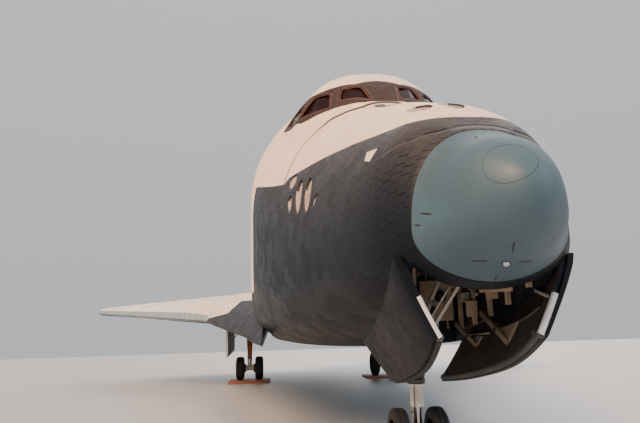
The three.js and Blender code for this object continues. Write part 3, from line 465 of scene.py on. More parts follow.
def sheetMaterial(name, colour, shade, seam, size, gap, roughness, metallic, wave):
    tree, shader = newMaterial(name, roughness, metallic)
    columnLine, shortLine, number = squareLayout(tree, size, gap, 0.0)
    lines = reckon(tree, "MAXIMUM", columnLine, shortLine)
    cloud = cloudiness(tree, 1100, 6, 0.6)
    base = mixColours(tree, ramp(tree, cloud, 0.38, 0.7), srgb(colour), srgb(shade))
    base = mixColours(tree, ramp(tree, number, 0, 1, 0, 0.4), base, srgb(shade))
    base = mixColours(tree, reckon(tree, "MULTIPLY", lines, 0.7), base, srgb(seam))
    tree.links.new(base, shader.inputs["Base Color"])
    tree.links.new(ramp(tree, cloud, 0.3, 0.7, roughness - 0.05, roughness + 0.06), shader.inputs["Roughness"])
    soft = cloudiness(tree, size / 2, 3, 0.5)
    bumped(tree, shader, reckon(tree, "SUBTRACT", soft, lines), wave, 0.5)


for name, values in sheetGoods.items():
    sheetMaterial(name, *values)


# Reinforced carbon with a silicon carbide skin: dense, smooth, blue-grey, a satin sheen. The wing's
# edge is made of panels, so its map carries their joints
def carbonMaterial(name, colour, shade, roughness, panel=None):
    tree, shader = newMaterial(name, roughness)
    cloud = cloudiness(tree, 700, 5, 0.55)
    grit = cloudiness(tree, 9, 3, 0.6)
    base = mixColours(tree, ramp(tree, cloud, 0.35, 0.7), srgb(colour), srgb(shade))
    height = reckon(tree, "MULTIPLY", grit, 0.15)
    if panel:
        joint, _, number = squareLayout(tree, panel, 14, 0.0)
        base = mixColours(tree, ramp(tree, number, 0, 1, 0, 0.5), base, srgb(shade))
        base = mixColours(tree, reckon(tree, "MULTIPLY", joint, 0.8), base, srgb("#3d4347"))
        height = reckon(tree, "SUBTRACT", height, joint)
    tree.links.new(base, shader.inputs["Base Color"])
    tree.links.new(ramp(tree, cloud, 0.3, 0.7, roughness - 0.05, roughness + 0.08), shader.inputs["Roughness"])
    bumped(tree, shader, height, 0.004, 0.35)


carbonMaterial("coatedCarbon", "#46606c", "#3b505b", 0.5)
carbonMaterial("coatedCarbonEdge", "#98a3aa", "#87929a", 0.46, 420)

# Sprayed paint, primer, rubber and bare metal: colour, shade, roughness, metallic, patch size in mm, worn edge
paints = {
    "gearEnamel": ("#dcd8ce", "#bfb9ac", 0.42, 0.0, 300, "#f4f2ea"),  # white epoxy enamel, grimy in hollows
    "zincPrimer": ("#7d6a55", "#5b4c3b", 0.55, 0.0, 120, "#a08c74"),  # brown corrosion primer on the strut
    "wellPrimer": ("#cdb99f", "#9a8973", 0.65, 0.0, 500, "#ddcbb3"),  # same primer, painted lighter in the wells: painted light, since the wells lie in shade
    "redLeadPaint": ("#bd5a26", "#84401d", 0.55, 0.0, 180, "#8a7a70"),  # orange-brown primer, rubbed to steel
    "blackEnamel": ("#191a1d", "#2a2b2f", 0.35, 0.0, 120, "#45464a"),  # gloss black on collars and hoses
    "deckEnamel": ("#5b5d60", "#434447", 0.6, 0.0, 300, None),  # grey crackle enamel in the cabin
    "doorLiner": ("#4b4540", "#3a3531", 0.62, 0.0, 700, "#7b7167"),  # brown-grey paint inside the gear doors
    "armEnamel": ("#8e7f6c", "#6c5f51", 0.5, 0.0, 200, "#b8aa96"),  # light brown enamel on hinge arms
    "braceEnamel": ("#a3a29c", "#7f7e78", 0.45, 0.0, 160, "#c9c8c2"),  # light grey enamel on channels
    "blackCloth": ("#0e0e0f", "#19191b", 0.9, 0.0, 60, None),  # black standing in for the deep shadow in the door recesses: painted shadow
    "bulbSeal": ("#4b4e50", "#3b3e40", 0.55, 0.0, 500, None),  # grey-brown silicone tube on the free edge
    "whiteSeal": ("#e8ebee", "#cdd3d8", 0.5, 0.0, 200, None),  # white silicone pressure seal, matte
    "greySeal": ("#97999b", "#7d7f81", 0.6, 0.0, 200, None),  # grey silicone bulb seal
    "tileEdge": ("#1d1e21", "#2c2d31", 0.6, 0.0, 90, None),  # cut black glass-fibre edge of a tile
    "frameEnamel": ("#3b2e28", "#31261f", 0.5, 0.0, 200, "#4c3d35"),  # brown enamel on window frames
    "orangeSeal": ("#6b2b1f", "#532018", 0.6, 0.0, 150, None),  # orange-red silicone round the panes
    "sealShadow": ("#40201a", "#311915", 0.7, 0.0, 150, None),  # the same silicone, darker: painted shade in the gasket groove beside the bead
    "thrusterLiner": ("#b9a49b", "#98857d", 0.5, 0.0, 160, None),  # pink-grey silicide coat in the nozzles
    "plugSeam": ("#2c3a41", "#36464e", 0.6, 0.0, 90, None),  # filler in the cap's seams
    "sootedLiner": ("#2c2725", "#171413", 0.7, 0.0, 90, None),  # the same coat, burnt dark in the throat; also painted shade in holes, throats and under nozzle rims
    "machinedMetal": ("#8d8f90", "#6f7173", 0.3, 0.85, 60, None),  # bare aluminium, fine turning marks
    "polishedSteel": ("#c8cacc", "#b4b6b8", 0.14, 1.0, 60, None),  # chromed piston, mirror-like
    "brakeSteel": ("#4b4744", "#2f2c2a", 0.5, 0.7, 40, None),  # heat-blued brake discs
    "baseEnamel": ("#4a4845", "#33312f", 0.6, 0.0, 500, "#6d6a66"),  # charcoal paint on the base
    "equipmentEnamel": ("#a8a79f", "#8a897f", 0.5, 0.0, 200, "#c4c3bb"),  # light grey boxes and lines
}


def paintMaterial(name, colour, shade, roughness, metallic, patch, wear):
    tree, shader = newMaterial(name, roughness, metallic)
    cloud = cloudiness(tree, patch, 6, 0.65)
    peel = cloudiness(tree, 6, 2, 0.5)
    base = mixColours(tree, ramp(tree, cloud, 0.38, 0.68), srgb(colour), srgb(shade))
    if wear:
        edge = addNode(tree, "NewGeometry").outputs["Pointiness"]
        base = mixColours(tree, ramp(tree, edge, 0.53, 0.6, 0, 0.8), base, srgb(wear))
    tree.links.new(base, shader.inputs["Base Color"])
    tree.links.new(ramp(tree, cloud, 0.3, 0.75, roughness - 0.06, roughness + 0.12), shader.inputs["Roughness"])
    bumped(tree, shader, peel, 0.0004, 0.3)


for name, values in paints.items():
    paintMaterial(name, *values)


# Welded coolant tubes of a rocket bell: brown heat-tinted steel. The tubes are 8 mm wide on the real bell
# and are drawn 40 mm wide so that they show
def bellMaterial():
    tree, shader = newMaterial("heatTintedSteel", 0.36, 0.85)
    cloud = cloudiness(tree, 900, 5, 0.6)
    parts = skinParts(tree)
    tubes = reckon(tree, "SINE", reckon(tree, "MULTIPLY", parts.outputs[0], 2 * math.pi / 0.04))
    tinted = mixColours(tree, ramp(tree, parts.outputs[1], 0.1, 2.6), srgb("#7a6a5a"), srgb("#4c433d"))
    tinted = mixColours(tree, ramp(tree, cloud, 0.35, 0.7, 0, 0.6), tinted, srgb("#5d5665"))
    tinted = mixColours(tree, ramp(tree, tubes, -1, -0.4, 0.5, 0), tinted, srgb("#241f1b"))
    tree.links.new(tinted, shader.inputs["Base Color"])
    tree.links.new(ramp(tree, cloud, 0.3, 0.7, 0.3, 0.46), shader.inputs["Roughness"])
    bumped(tree, shader, tubes, 0.004, 0.5)


bellMaterial()


# Tyre: vulcanised black rubber, chalky on the walls, greyer on the worn tread
def rubberMaterial():
    tree, shader = newMaterial("tyreRubber", 0.8)
    cloud = cloudiness(tree, 90, 6, 0.7)
    pores = cloudiness(tree, 5, 3, 0.7)
    base = mixColours(tree, ramp(tree, cloud, 0.35, 0.7), srgb("#1a1a1b"), srgb("#302f30"))
    tree.links.new(base, shader.inputs["Base Color"])
    tree.links.new(ramp(tree, cloud, 0.3, 0.7, 0.7, 0.9), shader.inputs["Roughness"])
    bumped(tree, shader, pores, 0.0006, 0.5)


rubberMaterial()


# Windshield: three thick fused silica panes, dark brown against the unlit cabin, hard clear gloss
def glassMaterial():
    tree, shader = newMaterial("fusedSilica", 0.12, 0.0, 1.46)
    shader.inputs["Specular IOR Level"].default_value = 0.03
    film = cloudiness(tree, 250)
    tree.links.new(mixColours(tree, film, srgb("#2a1614"), srgb("#1c0e0c")), shader.inputs["Base Color"])
    tree.links.new(ramp(tree, film, 0.3, 0.7, 0.22, 0.32), shader.inputs["Roughness"])


glassMaterial()
print("materials made:", len(finish))


# Meshes are drawn in station inches and turned into the frame when they are finished
class Shape:
    def __init__(self):
        self.mesh = bmesh.new()
        self.paints = []

    def paint(self, faces, name):
        if name not in self.paints:
            self.paints.append(name)
        for f in faces:
            f.material_index = self.paints.index(name)


def addPiece(name, mesh, body="root", slot=None, replaced=(), sharpAngle=32):
    piece = bpy.data.objects.new(name, mesh)
    bpy.context.scene.collection.objects.link(piece)
    mesh.polygons.foreach_set("use_smooth", [True] * len(mesh.polygons))
    mesh.set_sharp_from_angle(angle=math.radians(sharpAngle))
    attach(piece, body)
    if replaced:
        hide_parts(*replaced)
    return piece


def finishShape(shape, name, skinAxes=None, **place):
    mesh = bpy.data.meshes.new(name)
    bmesh.ops.remove_doubles(shape.mesh, verts=shape.mesh.verts, dist=0.003)
    bmesh.ops.recalc_face_normals(shape.mesh, faces=shape.mesh.faces)
    shape.mesh.to_mesh(mesh)
    shape.mesh.free()
    points = np.array([v.co for v in mesh.vertices], float)
    mesh.vertices.foreach_set("co", toRow(points).ravel())
    for paint in shape.paints:
        mesh.materials.append(finish[paint])
    mesh.update()
    if skinAxes:
        setSkinMap(mesh, points[:, skinAxes[0]], points[:, skinAxes[1]])
    return addPiece(name, mesh, **place)


def setField(mesh, name, values):
    field = mesh.attributes.get(name) or mesh.attributes.new(name, "FLOAT", "POINT")
    field.data.foreach_set("value", np.asarray(values, np.float32))


def setSkinMap(mesh, along, across):  # both in inches a vertex
    layer = mesh.uv_layers.new(name="skin")
    corner = np.empty(len(mesh.loops), int)
    mesh.loops.foreach_get("vertex_index", corner)
    pairs = np.stack([np.asarray(along)[corner], np.asarray(across)[corner]], -1) * inch
    layer.data.foreach_set("uv", pairs.astype(np.float32).ravel())


def unit(v):
    return np.asarray(v, float) / np.linalg.norm(v)


def squareTo(direction):  # two directions square to one
    d = unit(direction)
    side = unit(np.cross(d, (0, 0, 1) if abs(d[2]) < 0.9 else (1, 0, 0)))
    return side, np.cross(side, d)


# Rings joined into a skin. The paint is a name, a name a band, or a function of band and place around
def skinRings(shape, rings, paint, caps=(True, True), closed=True):
    verts = [[shape.mesh.verts.new(p) for p in ring] for ring in rings]
    count = len(rings[0])
    for k, (a, b) in enumerate(zip(verts, verts[1:])):
        for i in range(count if closed else count - 1):
            j = (i + 1) % count
            face = shape.mesh.faces.new((a[i], a[j], b[j], b[i]))
            chosen = paint(k, i) if callable(paint) else paint if isinstance(paint, str) else paint[k]
            shape.paint([face], chosen)
    for wanted, ring, band in ((caps[0], verts[0][::-1], 0), (caps[1], verts[-1], len(rings) - 2)):
        if wanted:
            face = shape.mesh.faces.new(ring)
            shape.paint([face], paint(band, 0) if callable(paint) else paint if isinstance(paint, str) else paint[band])


def lathe(shape, profile, origin, direction, paint, segments=48):  # profile of radius and distance
    axis = unit(direction)
    side, up = squareTo(axis)
    turn = np.arange(segments)[:, None] * 2 * math.pi / segments
    ring = np.cos(turn) * side + np.sin(turn) * up
    rings = [np.asarray(origin, float) + axis * s + max(r, 1e-4) * ring for r, s in profile]
    open_ = np.allclose(profile[0], profile[-1])
    skinRings(shape, rings, paint, (not open_, not open_))


def smoothPath(points, steps, closed=False):
    p = np.array(points, float)
    count = len(p)
    at = (lambda k: p[k % count]) if closed else (lambda k: p[min(max(k, 0), count - 1)])
    out = []
    for i in range(count if closed else count - 1):
        a, b, c, d = at(i - 1), at(i), at(i + 1), at(i + 2)
        for t in np.arange(steps) / steps:
            curve = 2 * b + (c - a) * t + (2 * a - 5 * b + 4 * c - d) * t**2 + (3 * b - a - 3 * c + d) * t**3
            out.append(curve / 2)
    return np.array(out if closed else out + [p[-1]])


def sweep(shape, path, section, paint, normals=None, closed=False, caps=True):
    # section: places across the path and along its normal; normals: one a point, or carried along
    way = np.roll(path, -1, 0) - np.roll(path, 1, 0) if closed else np.gradient(path, axis=0)
    way = way / np.linalg.norm(way, axis=1)[:, None]
    up = squareTo(way[0])[1]
    rings = []
    for k, (point, d) in enumerate(zip(path, way)):
        up = up if normals is None else normals[k]
        up = unit(up - d * np.dot(up, d))
        side = np.cross(d, up)
        rings.append([point + a * side + b * up for a, b in (section(k) if callable(section) else section)])
    if closed:
        rings.append(rings[0])
    skinRings(shape, rings, paint, (caps and not closed, caps and not closed))


def circle(radius, sides=10):
    turn = np.arange(sides) * 2 * math.pi / sides
    return np.stack([radius * np.cos(turn), radius * np.sin(turn)], -1)


def tube(shape, points, radius, paint, sides=10, steps=5, closed=False):
    path = smoothPath(points, steps, closed) if steps > 1 else np.array(points, float)
    sweep(shape, path, circle(radius, sides), paint, closed=closed)


# Block with eased edges: middle, size and its three directions
def slab(shape, middle, size, paint, axes=np.eye(3), bevel=0.15):
    corners = [(i, j, k) for i in (-0.5, 0.5) for j in (-0.5, 0.5) for k in (-0.5, 0.5)]
    verts = [shape.mesh.verts.new(np.asarray(middle) + np.asarray(c) * size @ np.asarray(axes)) for c in corners]
    around = [(0, 1, 3, 2), (4, 6, 7, 5), (0, 4, 5, 1), (2, 3, 7, 6), (0, 2, 6, 4), (1, 5, 7, 3)]
    made = [shape.mesh.faces.new([verts[i] for i in face]) for face in around]
    bmesh.ops.recalc_face_normals(shape.mesh, faces=made)
    shape.paint(made, paint)
    if bevel:
        edges = list(dict.fromkeys(e for f in made for e in f.edges))
        bmesh.ops.bevel(shape.mesh, geom=edges, offset=bevel, segments=2, affect="EDGES", profile=0.6)


def bar(shape, start, end, width, height, paint, up=(0, 0, 1), bevel=0.12):
    start, end = np.asarray(start, float), np.asarray(end, float)
    d = unit(end - start)
    side = unit(np.cross(np.asarray(up, float), d))
    size = (np.linalg.norm(end - start), width, height)
    slab(shape, (start + end) / 2, size, paint, [d, side, np.cross(d, side)], bevel)


# sockets and holes: a metal rim round a dark floor, the dark floor painted shade
socketPaints = ["machinedMetal"] * 3 + ["sootedLiner"]


def studs(shape, places, direction, radius, height, paint, sides=8):
    profile = [(radius, -0.1), (radius, 0.6 * height), (0.6 * radius, height)]
    for place in places:
        lathe(shape, profile, place, direction, paint, sides)


# Things laid on the body's surface, by station and angle up from the near side
def hullNormal(x, degrees):
    ahead = hullPoint(x + 0.5, degrees) - hullPoint(x - 0.5, degrees)
    round_ = hullPoint(x, degrees + 0.3) - hullPoint(x, degrees - 0.3)
    n = np.cross(ahead, round_)
    n = n / np.linalg.norm(n, axis=-1)[..., None]
    outward = np.cos(np.radians(degrees)) * n[..., 1] + np.sin(np.radians(degrees)) * n[..., 2]
    return n * np.where(outward < 0, -1, 1)[..., None]


def onSide(points, way):
    p = np.array(points, float)
    p[..., 1] *= way
    return p


def hullBand(shape, path, section, paint, way=1, closed=False):
    x, degrees = np.array(path, float).T
    place, normals = hullPoint(x, degrees), hullNormal(x, degrees)
    if way < 0:
        place, normals = onSide(place, -1), onSide(normals, -1)
        section = [(-a, b) for a, b in section]
    sweep(shape, place, section, paint, normals, closed)


def hullQuad(shape, corners, rise, paint, way=1, cells=6, skirt=0.3):  # raised plate with four corners
    s, t = np.meshgrid(np.linspace(0, 1, cells + 1), np.linspace(0, 1, cells + 1), indexing="ij")
    c = np.array(corners, float)[:, None, None, :]
    s, t = s[..., None], t[..., None]
    flat = c[0] * (1 - s) * (1 - t) + c[1] * s * (1 - t) + c[2] * s * t + c[3] * (1 - s) * t
    top = onSide(hullPoint(flat[..., 0], flat[..., 1], rise), way)
    low = onSide(hullPoint(flat[..., 0], flat[..., 1], -skirt), way)
    edge = [(0, k) for k in range(cells)] + [(k, cells) for k in range(cells)]
    edge += [(cells, k) for k in range(cells, 0, -1)] + [(k, 0) for k in range(cells, 0, -1)]
    verts = [[shape.mesh.verts.new(p) for p in row] for row in top]
    under = {k: shape.mesh.verts.new(low[k]) for k in edge}
    made = []
    for i in range(cells):
        for j in range(cells):
            made.append(shape.mesh.faces.new((verts[i][j], verts[i + 1][j], verts[i + 1][j + 1], verts[i][j + 1])))
    for a, b in zip(edge, edge[1:] + edge[:1]):
        made.append(shape.mesh.faces.new((verts[a[0]][a[1]], verts[b[0]][b[1]], under[b], under[a])))
    shape.paint(made, paint)


inchesPerDegree = 1.66  # on the flight deck's bulge


def roundedPath(corners, radius, spacing=1.2):  # polygon of station and angle with rounded corners
    p = np.array(corners, float) * (1, inchesPerDegree)
    nextOne = np.roll(p, -1, 0)
    if (p[:, 0] * nextOne[:, 1] - nextOne[:, 0] * p[:, 1]).sum() < 0:
        p = p[::-1]
    path = []
    for a, b, c in zip(np.roll(p, 1, 0), p, np.roll(p, -1, 0)):
        bend = min(radius, 0.4 * np.linalg.norm(a - b), 0.4 * np.linalg.norm(c - b))
        start, end = b + unit(a - b) * bend, b + unit(c - b) * bend
        path += [start * (1 - t) ** 2 + 2 * b * t * (1 - t) + end * t**2 for t in np.linspace(0, 1, 5)]
    even = []
    for a, b in zip(path, path[1:] + path[:1]):
        steps = max(1, int(np.linalg.norm(b - a) / spacing))
        even += [a + (b - a) * k / steps for k in range(steps)]
    return np.array(even) / (1, inchesPerDegree)


def ringPath(x, degrees, length, height, lean=0.0, scale=1.0, count=48):  # ellipse laid on the body
    turn = np.arange(count) * 2 * math.pi / count
    perDegree = hullRadius(x, math.radians(degrees)) * math.pi / 180
    a, b = scale * length / 2 * np.cos(turn), scale * height / 2 * np.sin(turn)
    c, s = math.cos(math.radians(lean)), math.sin(math.radians(lean))
    return np.stack([x + a * c + b * s, degrees + (b * c - a * s) / perDegree], -1)


def insideCuts(points, cuts, scale):  # which points lie in one of the ellipses on the top of the nose
    inside = np.zeros(len(points), bool)
    for x, degrees, length, height, *_ in cuts:
        across = np.abs(points[:, 1]) - hullPoint(x, degrees)[1]
        near = np.hypot((points[:, 0] - x) * 2 / length, across * 2 / height) < scale
        inside |= near & (points[:, 2] > 360)
    return inside


# A body node's mesh with its outer faces cut finer and laid on the true surface
def refinedHull(node, longest, reach=2.5, inward=(), cuts=()):
    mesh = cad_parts[node].data.copy()
    work = bmesh.new()
    work.from_mesh(mesh)
    bmesh.ops.remove_doubles(work, verts=work.verts, dist=1e-4)
    centres = toStation([f.calc_center_median() for f in work.faces])
    x, angle, out = hullPlace(centres)
    facing = hullNormal(x, angle) * np.where(centres[:, 1:2] < 0, (1, -1, 1), 1)
    for f, distance, direction in zip(work.faces, out, facing):
        f.material_index = 0 if abs(distance) < reach and f.normal.dot(rowDirection(direction)) > 0.75 else 1
    for _ in range(9):
        edges = [e for e in work.edges if any(f.material_index == 0 for f in e.link_faces)]
        middles = toStation([(e.verts[0].co + e.verts[1].co) / 2 for e in edges])
        limit = np.where(insideCuts(middles, cuts, 1.35), 1.1, longest) * inch
        edges = [e for e, most in zip(edges, limit) if e.calc_length() > most]
        if not edges:
            break
        bmesh.ops.subdivide_edges(work, edges=edges, cuts=1)
        bmesh.ops.triangulate(work, faces=[f for f in work.faces if len(f.verts) > 3])
    if cuts:
        inner = insideCuts(toStation([v.co for v in work.verts]), cuts, 1.0)
        doomed = dict.fromkeys(f for v, gone in zip(work.verts, inner) if gone for f in v.link_faces)
        bmesh.ops.delete(work, geom=list(doomed), context="FACES")
    outer = [v for v in work.verts if any(f.material_index == 0 for f in v.link_faces)]
    places = toStation([v.co for v in outer])
    x, angle, _ = hullPlace(places)
    moved = hullPoint(x, angle)
    moved[:, 1] *= np.where(places[:, 1] < 0, -1, 1)
    for v, p in zip(outer, toRow(moved)):
        v.co = p
    for paint, test in inward:
        for f in work.faces:
            if f.material_index and test(toStation(f.calc_center_median())):
                f.material_index = paint
    work.to_mesh(mesh)
    work.free()
    points = meshPoints(mesh)
    x, angle, _ = hullPlace(points)
    setSkinMap(mesh, x, girth(x, angle))
    mesh.materials.clear()
    return mesh, points, x, angle


def meshPoints(mesh):
    flat = np.empty(len(mesh.vertices) * 3, np.float32)
    mesh.vertices.foreach_get("co", flat)
    return toStation(flat.reshape(-1, 3))


def splitMesh(mesh, cuts):  # cuts faces along planes, each a place and a direction in station inches
    shape = bmesh.new()
    shape.from_mesh(mesh)
    for place, direction in cuts:
        everything = [*shape.verts, *shape.edges, *shape.faces]
        bmesh.ops.bisect_plane(
            shape, geom=everything, dist=1e-5, plane_co=toRow(place), plane_no=rowDirection(direction)
        )
    shape.to_mesh(mesh)
    shape.free()


# A node's own mesh with several finishes: paintAt gives a finish for a face's middle and direction
def dressNode(node, piece, paintAt, skinAxes, body="root", slot=None, sharpAngle=32, around=None, cuts=()):
    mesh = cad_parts[node].data.copy()
    splitMesh(mesh, cuts)
    points = meshPoints(mesh)
    mesh.materials.clear()
    names = []
    for polygon in mesh.polygons:
        middle = toStation(polygon.center)
        name = paintAt(middle, toStation(polygon.normal) - toStation((0, 0, 0)))
        if name not in names:
            names.append(name)
        polygon.material_index = names.index(name)
    for name in names:
        mesh.materials.append(finish[name])
    along, across = around(points) if around else (points[:, skinAxes[0]], points[:, skinAxes[1]])
    setSkinMap(mesh, along, across)
    return addPiece(piece, mesh, body, slot, [node], sharpAngle)


# Nose cap with the seam of its access plug, a bright probe stub and short gap marks: station and angle of
# both ends of a mark, its width, and what it is filled with
capDetails = {
    "start": 236.02,
    "end": 272.45,
    "rows": 44,
    "around": 128,
    "plug": (240.9, 59.9),
    "plugRadius": 8.3,
    "probe": (258.6, -84),
    "marks": [
        ((262, -49.6), (259.3, -62.5), 0.35),
        ((257.5, 261.5), (260.1, 241.6), 0.35),
        ((247.8, -77), (251.9, -82), 0.25),
        ((268.1, -86.4), (271.5, -88), 0.3),
        ((265, 79.1), (260, 75), 0.3),
        ((268.5, 11), (263.9, 7.1), 0.3),
        ((271, 3.9), (268.9, 2), 0.3),
    ],
}


def ontoHull(points, direction):  # slides points along a line until they lie on the surface
    low, high = np.full(len(points), -9.0), np.full(len(points), 9.0)
    for _ in range(26):
        middle = (low + high) / 2
        out = hullPlace(points + np.multiply.outer(middle, direction))[2]
        low, high = np.where(out < 0, middle, low), np.where(out < 0, high, middle)
    return points + np.multiply.outer(low, direction)


def noseCap(c):
    shape = Shape()
    stations = c["start"] + (c["end"] - c["start"]) * np.linspace(0, 1, c["rows"]) ** 2
    angles = np.arange(c["around"]) * 360 / c["around"]
    rings = list(hullPoint(*np.meshgrid(stations, angles, indexing="ij")))
    rings.insert(0, np.full((c["around"], 3), (c["start"] - 0.03, 0, 335)))
    rings.append(hullPoint(np.full(c["around"], c["end"] + 0.05), angles, -0.25))
    rings.append(hullPoint(np.full(c["around"], c["end"]), angles, -3))
    skinRings(shape, rings, "coatedCarbon", (False, False))
    middle, facing = hullPoint(*c["plug"]), hullNormal(*(np.array(v) for v in c["plug"]))
    level, upright = squareTo(facing)
    turn = np.linspace(0, 2 * math.pi, 97)[:-1]
    circle_ = middle + c["plugRadius"] * (
        np.multiply.outer(np.cos(turn), level) + np.multiply.outer(np.sin(turn), upright)
    )
    seam = ontoHull(circle_, facing)
    normals = np.tile(facing, (len(turn), 1))
    sweep(shape, seam, [(-0.14, -0.1), (-0.14, 0.03), (0.14, 0.03), (0.14, -0.1)], "plugSeam", normals, closed=True)
    for a in np.radians((60, 74, 88, 102, 116)):
        spot = ontoHull(
            (middle + (c["plugRadius"] + 1.3) * (math.cos(a) * level + math.sin(a) * upright))[None], facing
        )[0]
        studs(shape, [spot], facing, 0.16, 0.05, "sootedLiner")
    stub = hullPoint(*c["probe"])
    down = hullNormal(*(np.array(v) for v in c["probe"]))
    profile = [(1.5, -0.2), (1.5, 0.05), (1.2, 0.12), (1.15, 0.5), (0.9, 0.95), (0.5, 1.2), (0.001, 1.3)]
    lathe(shape, profile, stub, down, ["plugSeam"] * 2 + ["polishedSteel"] * 4, 28)
    for (x0, a0), (x1, a1), wide in c["marks"]:
        path = np.stack([np.linspace(x0, x1, 6), np.linspace(a0, a1 if abs(a1 - a0) < 180 else a1 - 360, 6)], -1)
        hullBand(shape, path, [(-wide, -0.1), (-wide, 0.03), (wide, 0.03), (wide, -0.1)], "sootedLiner")
    finishShape(shape, "nose_cap_shell", slot="nose_cap_carbon", replaced=["nose_cap"])


noseCap(capDetails)

# Lower edge of the white area: station and height
whiteEdge = [
    (236, 374.4), (300, 374.6), (310, 376), (320, 377.4), (332, 379.3), (343, 380.9), (356, 382.3), (370, 383.8)
]
whiteEdge += [
    (384, 384.9), (399, 385.6), (412, 386.1), (436, 386.3), (440, 382.8), (465, 387.4), (488, 392.2), (519, 399.2),
    (575, 411.9),
]
seamLine = [
    (20, 433), (25, 436.5), (31, 440.9), (33.5, 442.2), (39.7, 447.9), (46.9, 452.9), (53, 455.3), (59, 454.5),
    (65.8, 448.8), (71.6, 440.4),
]
seamLine += [(76.8, 433.8), (80, 431.4), (90, 431)]
surroundOutline = [
    (432.2, 90), (432.6, 86), (435, 81.3), (443.2, 75.1), (454.5, 69), (465.4, 63.9), (471.7, 60.7), (481, 56.7),
    (500, 52.4),
]
surroundOutline += [
    (538, 48), (546, 48.5), (537, 56), (524, 62.5), (495, 66), (487, 67.3), (479, 71), (471, 75.3), (462, 82),
    (463, 86), (464.2, 90),
]
belly = {"edge": [(548, 314), (640, 306), (760, 291)], "afterCabin": 548, "aftEdge": 297, "base": 1517}


def darkHull(x, z):  # inches into the black area
    line = np.interp(x, *zip(*whiteEdge))
    forward = line - z
    low = np.interp(x, *zip(*belly["edge"])) - z
    return np.maximum(np.minimum(forward, belly["afterCabin"] - x), low)


def paintForward(mesh, points, x, angle):
    setField(mesh, "dark", np.clip(darkHull(x, points[:, 2]), -9, 9))
    seam = x - np.interp(angle, *zip(*seamLine))
    setField(mesh, "aftOfSeam", np.where(angle > 22, np.clip(seam, -25, 25), 25))
    outline = [(a, (90 - b) * inchesPerDegree) for a, b in surroundOutline]
    outline += [(a, -b) for a, b in reversed(outline[1:-1])]
    flat = np.stack([x, (90 - angle) * inchesPerDegree], -1)
    near = (x > 420) & (x < 580) & (angle > 30)
    inside = np.full(len(x), -9.0)
    inside[near] = insidePolygon(flat[near], outline)
    setField(mesh, "surround", np.clip(inside, -9, 9))


def inNoseWell(p):
    return 270 < p[0] < 410 and abs(p[1]) < 29 and p[2] < 334


def inWindow(p):
    return p[2] > 405 and p[0] > 434 and hullPlace(p)[2] > -8


# Nose thruster nozzles, cut off flush with the skin: station, angle, length, height, lean of the upper end
# aft, and where the hole in the shallow dish is, in degrees round it from aft over the top
nozzleCuts = [
    (421, 34.2, 15, 10.5, -29, 60),
    (410.5, 24, 6.5, 15, 42, 75),
    (396, 28.3, 10, 30, 36, 68),
    (379.6, 30.1, 10.5, 27.5, 34, 68),
    (364.4, 28, 3.1, 7, 12, 90),
    (351, 84, 7, 7, 0, 75),
    (309, 78.3, 19, 10.8, 0, 75),
]
middleNozzle = (304.5, 90, 19, 10.8, 0, 75)
nozzleDepth = {"lip": 0.35, "dish": 1.5, "throat": 5.0}


forwardFinish = ("silicaTileForward", "deckEnamel", "wellPrimer", "frameEnamel", "thrusterLiner")
for node, piece, slot in (
    ("forward_thruster_module", "thruster_module_skin", "white_tile"),
    ("forward_fuselage", "forward_skin", "black_tile"),
):
    tests = [(2, inNoseWell), (3, inWindow)] if node == "forward_fuselage" else [(4, lambda p: True)]
    cuts = [*nozzleCuts[-1:], middleNozzle] if node == "forward_thruster_module" else []
    mesh, points, x, angle = refinedHull(node, 3.2, inward=tests, cuts=cuts)
    paintForward(mesh, points, x, angle)
    for name in forwardFinish:
        mesh.materials.append(finish[name])
    addPiece(piece, mesh, slot=slot, replaced=[node], sharpAngle=28)


def noseNozzle(shape, row, d, way):
    x, degrees, length, height, lean, holeTurn = row
    onTop = degrees > 60
    count = 48
    turn = np.arange(count) * 2 * math.pi / count
    a = math.radians(degrees)
    radial, climb = np.array((0, math.cos(a), math.sin(a))), np.array((0, -math.sin(a), math.cos(a)))
    c, s = math.cos(math.radians(lean)), math.sin(math.radians(lean))
    toHole = (c * np.array((1, 0, 0)) - s * climb) * length / 2 * math.cos(math.radians(holeTurn))
    toHole = toHole + (s * np.array((1, 0, 0)) + c * climb) * height / 2 * math.sin(math.radians(holeTurn))
    nearHole = 0.5 + 0.5 * np.cos(turn - math.radians(holeTurn))
    rings = []
    if onTop:  # a collar of tile hides the edge of the skin
        for scale, out in ((1.34, -0.2), (1.3, 0.03), (1.02, 0.05)):
            path = ringPath(x, degrees, length, height, lean, scale)
            rings.append(hullPoint(path[:, 0], path[:, 1], out))
    for scale, depth, shift in (
        (1.0, -0.02, 0), (0.985, d["lip"], 0), (0.96, d["lip"] + 0.05, 0), (0.8, d["lip"] + d["dish"] * 0.45, 0.02),
        (0.6, d["lip"] + d["dish"] * 0.8, 0.12), (0.38, d["lip"] + d["dish"], 0.4), (0.2, d["throat"], 0.5),
    ):
        path = ringPath(x, degrees, length, height, lean, scale)
        under = (0.4 + 0.6 * nearHole) * depth if depth > 0 else depth * np.ones(count)
        rings.append(hullPoint(path[:, 0], path[:, 1]) - np.multiply.outer(under, radial) + shift * toHole)
    collar = ["whiteSilicaTile"] * 3 if onTop else []

    def paint(band, place):
        if band < len(collar):
            return collar[band]
        inward = band - len(collar)
        # the first bands on the hole's side are painted dark: painted shadow under the rim
        return "sootedLiner" if inward < 3 and nearHole[place] > (0.7 if onTop else 0.88) else "thrusterLiner"

    skinRings(shape, [onSide(r, way) for r in rings], paint, (False, True))


for side, way in sides:
    shape = Shape()
    for row in nozzleCuts:
        noseNozzle(shape, row, nozzleDepth, way)
    if way > 0:
        noseNozzle(shape, middleNozzle, nozzleDepth, way)
    finishShape(shape, f"thruster_liners_{side}", (0, 2), slot="white_tile", sharpAngle=50)

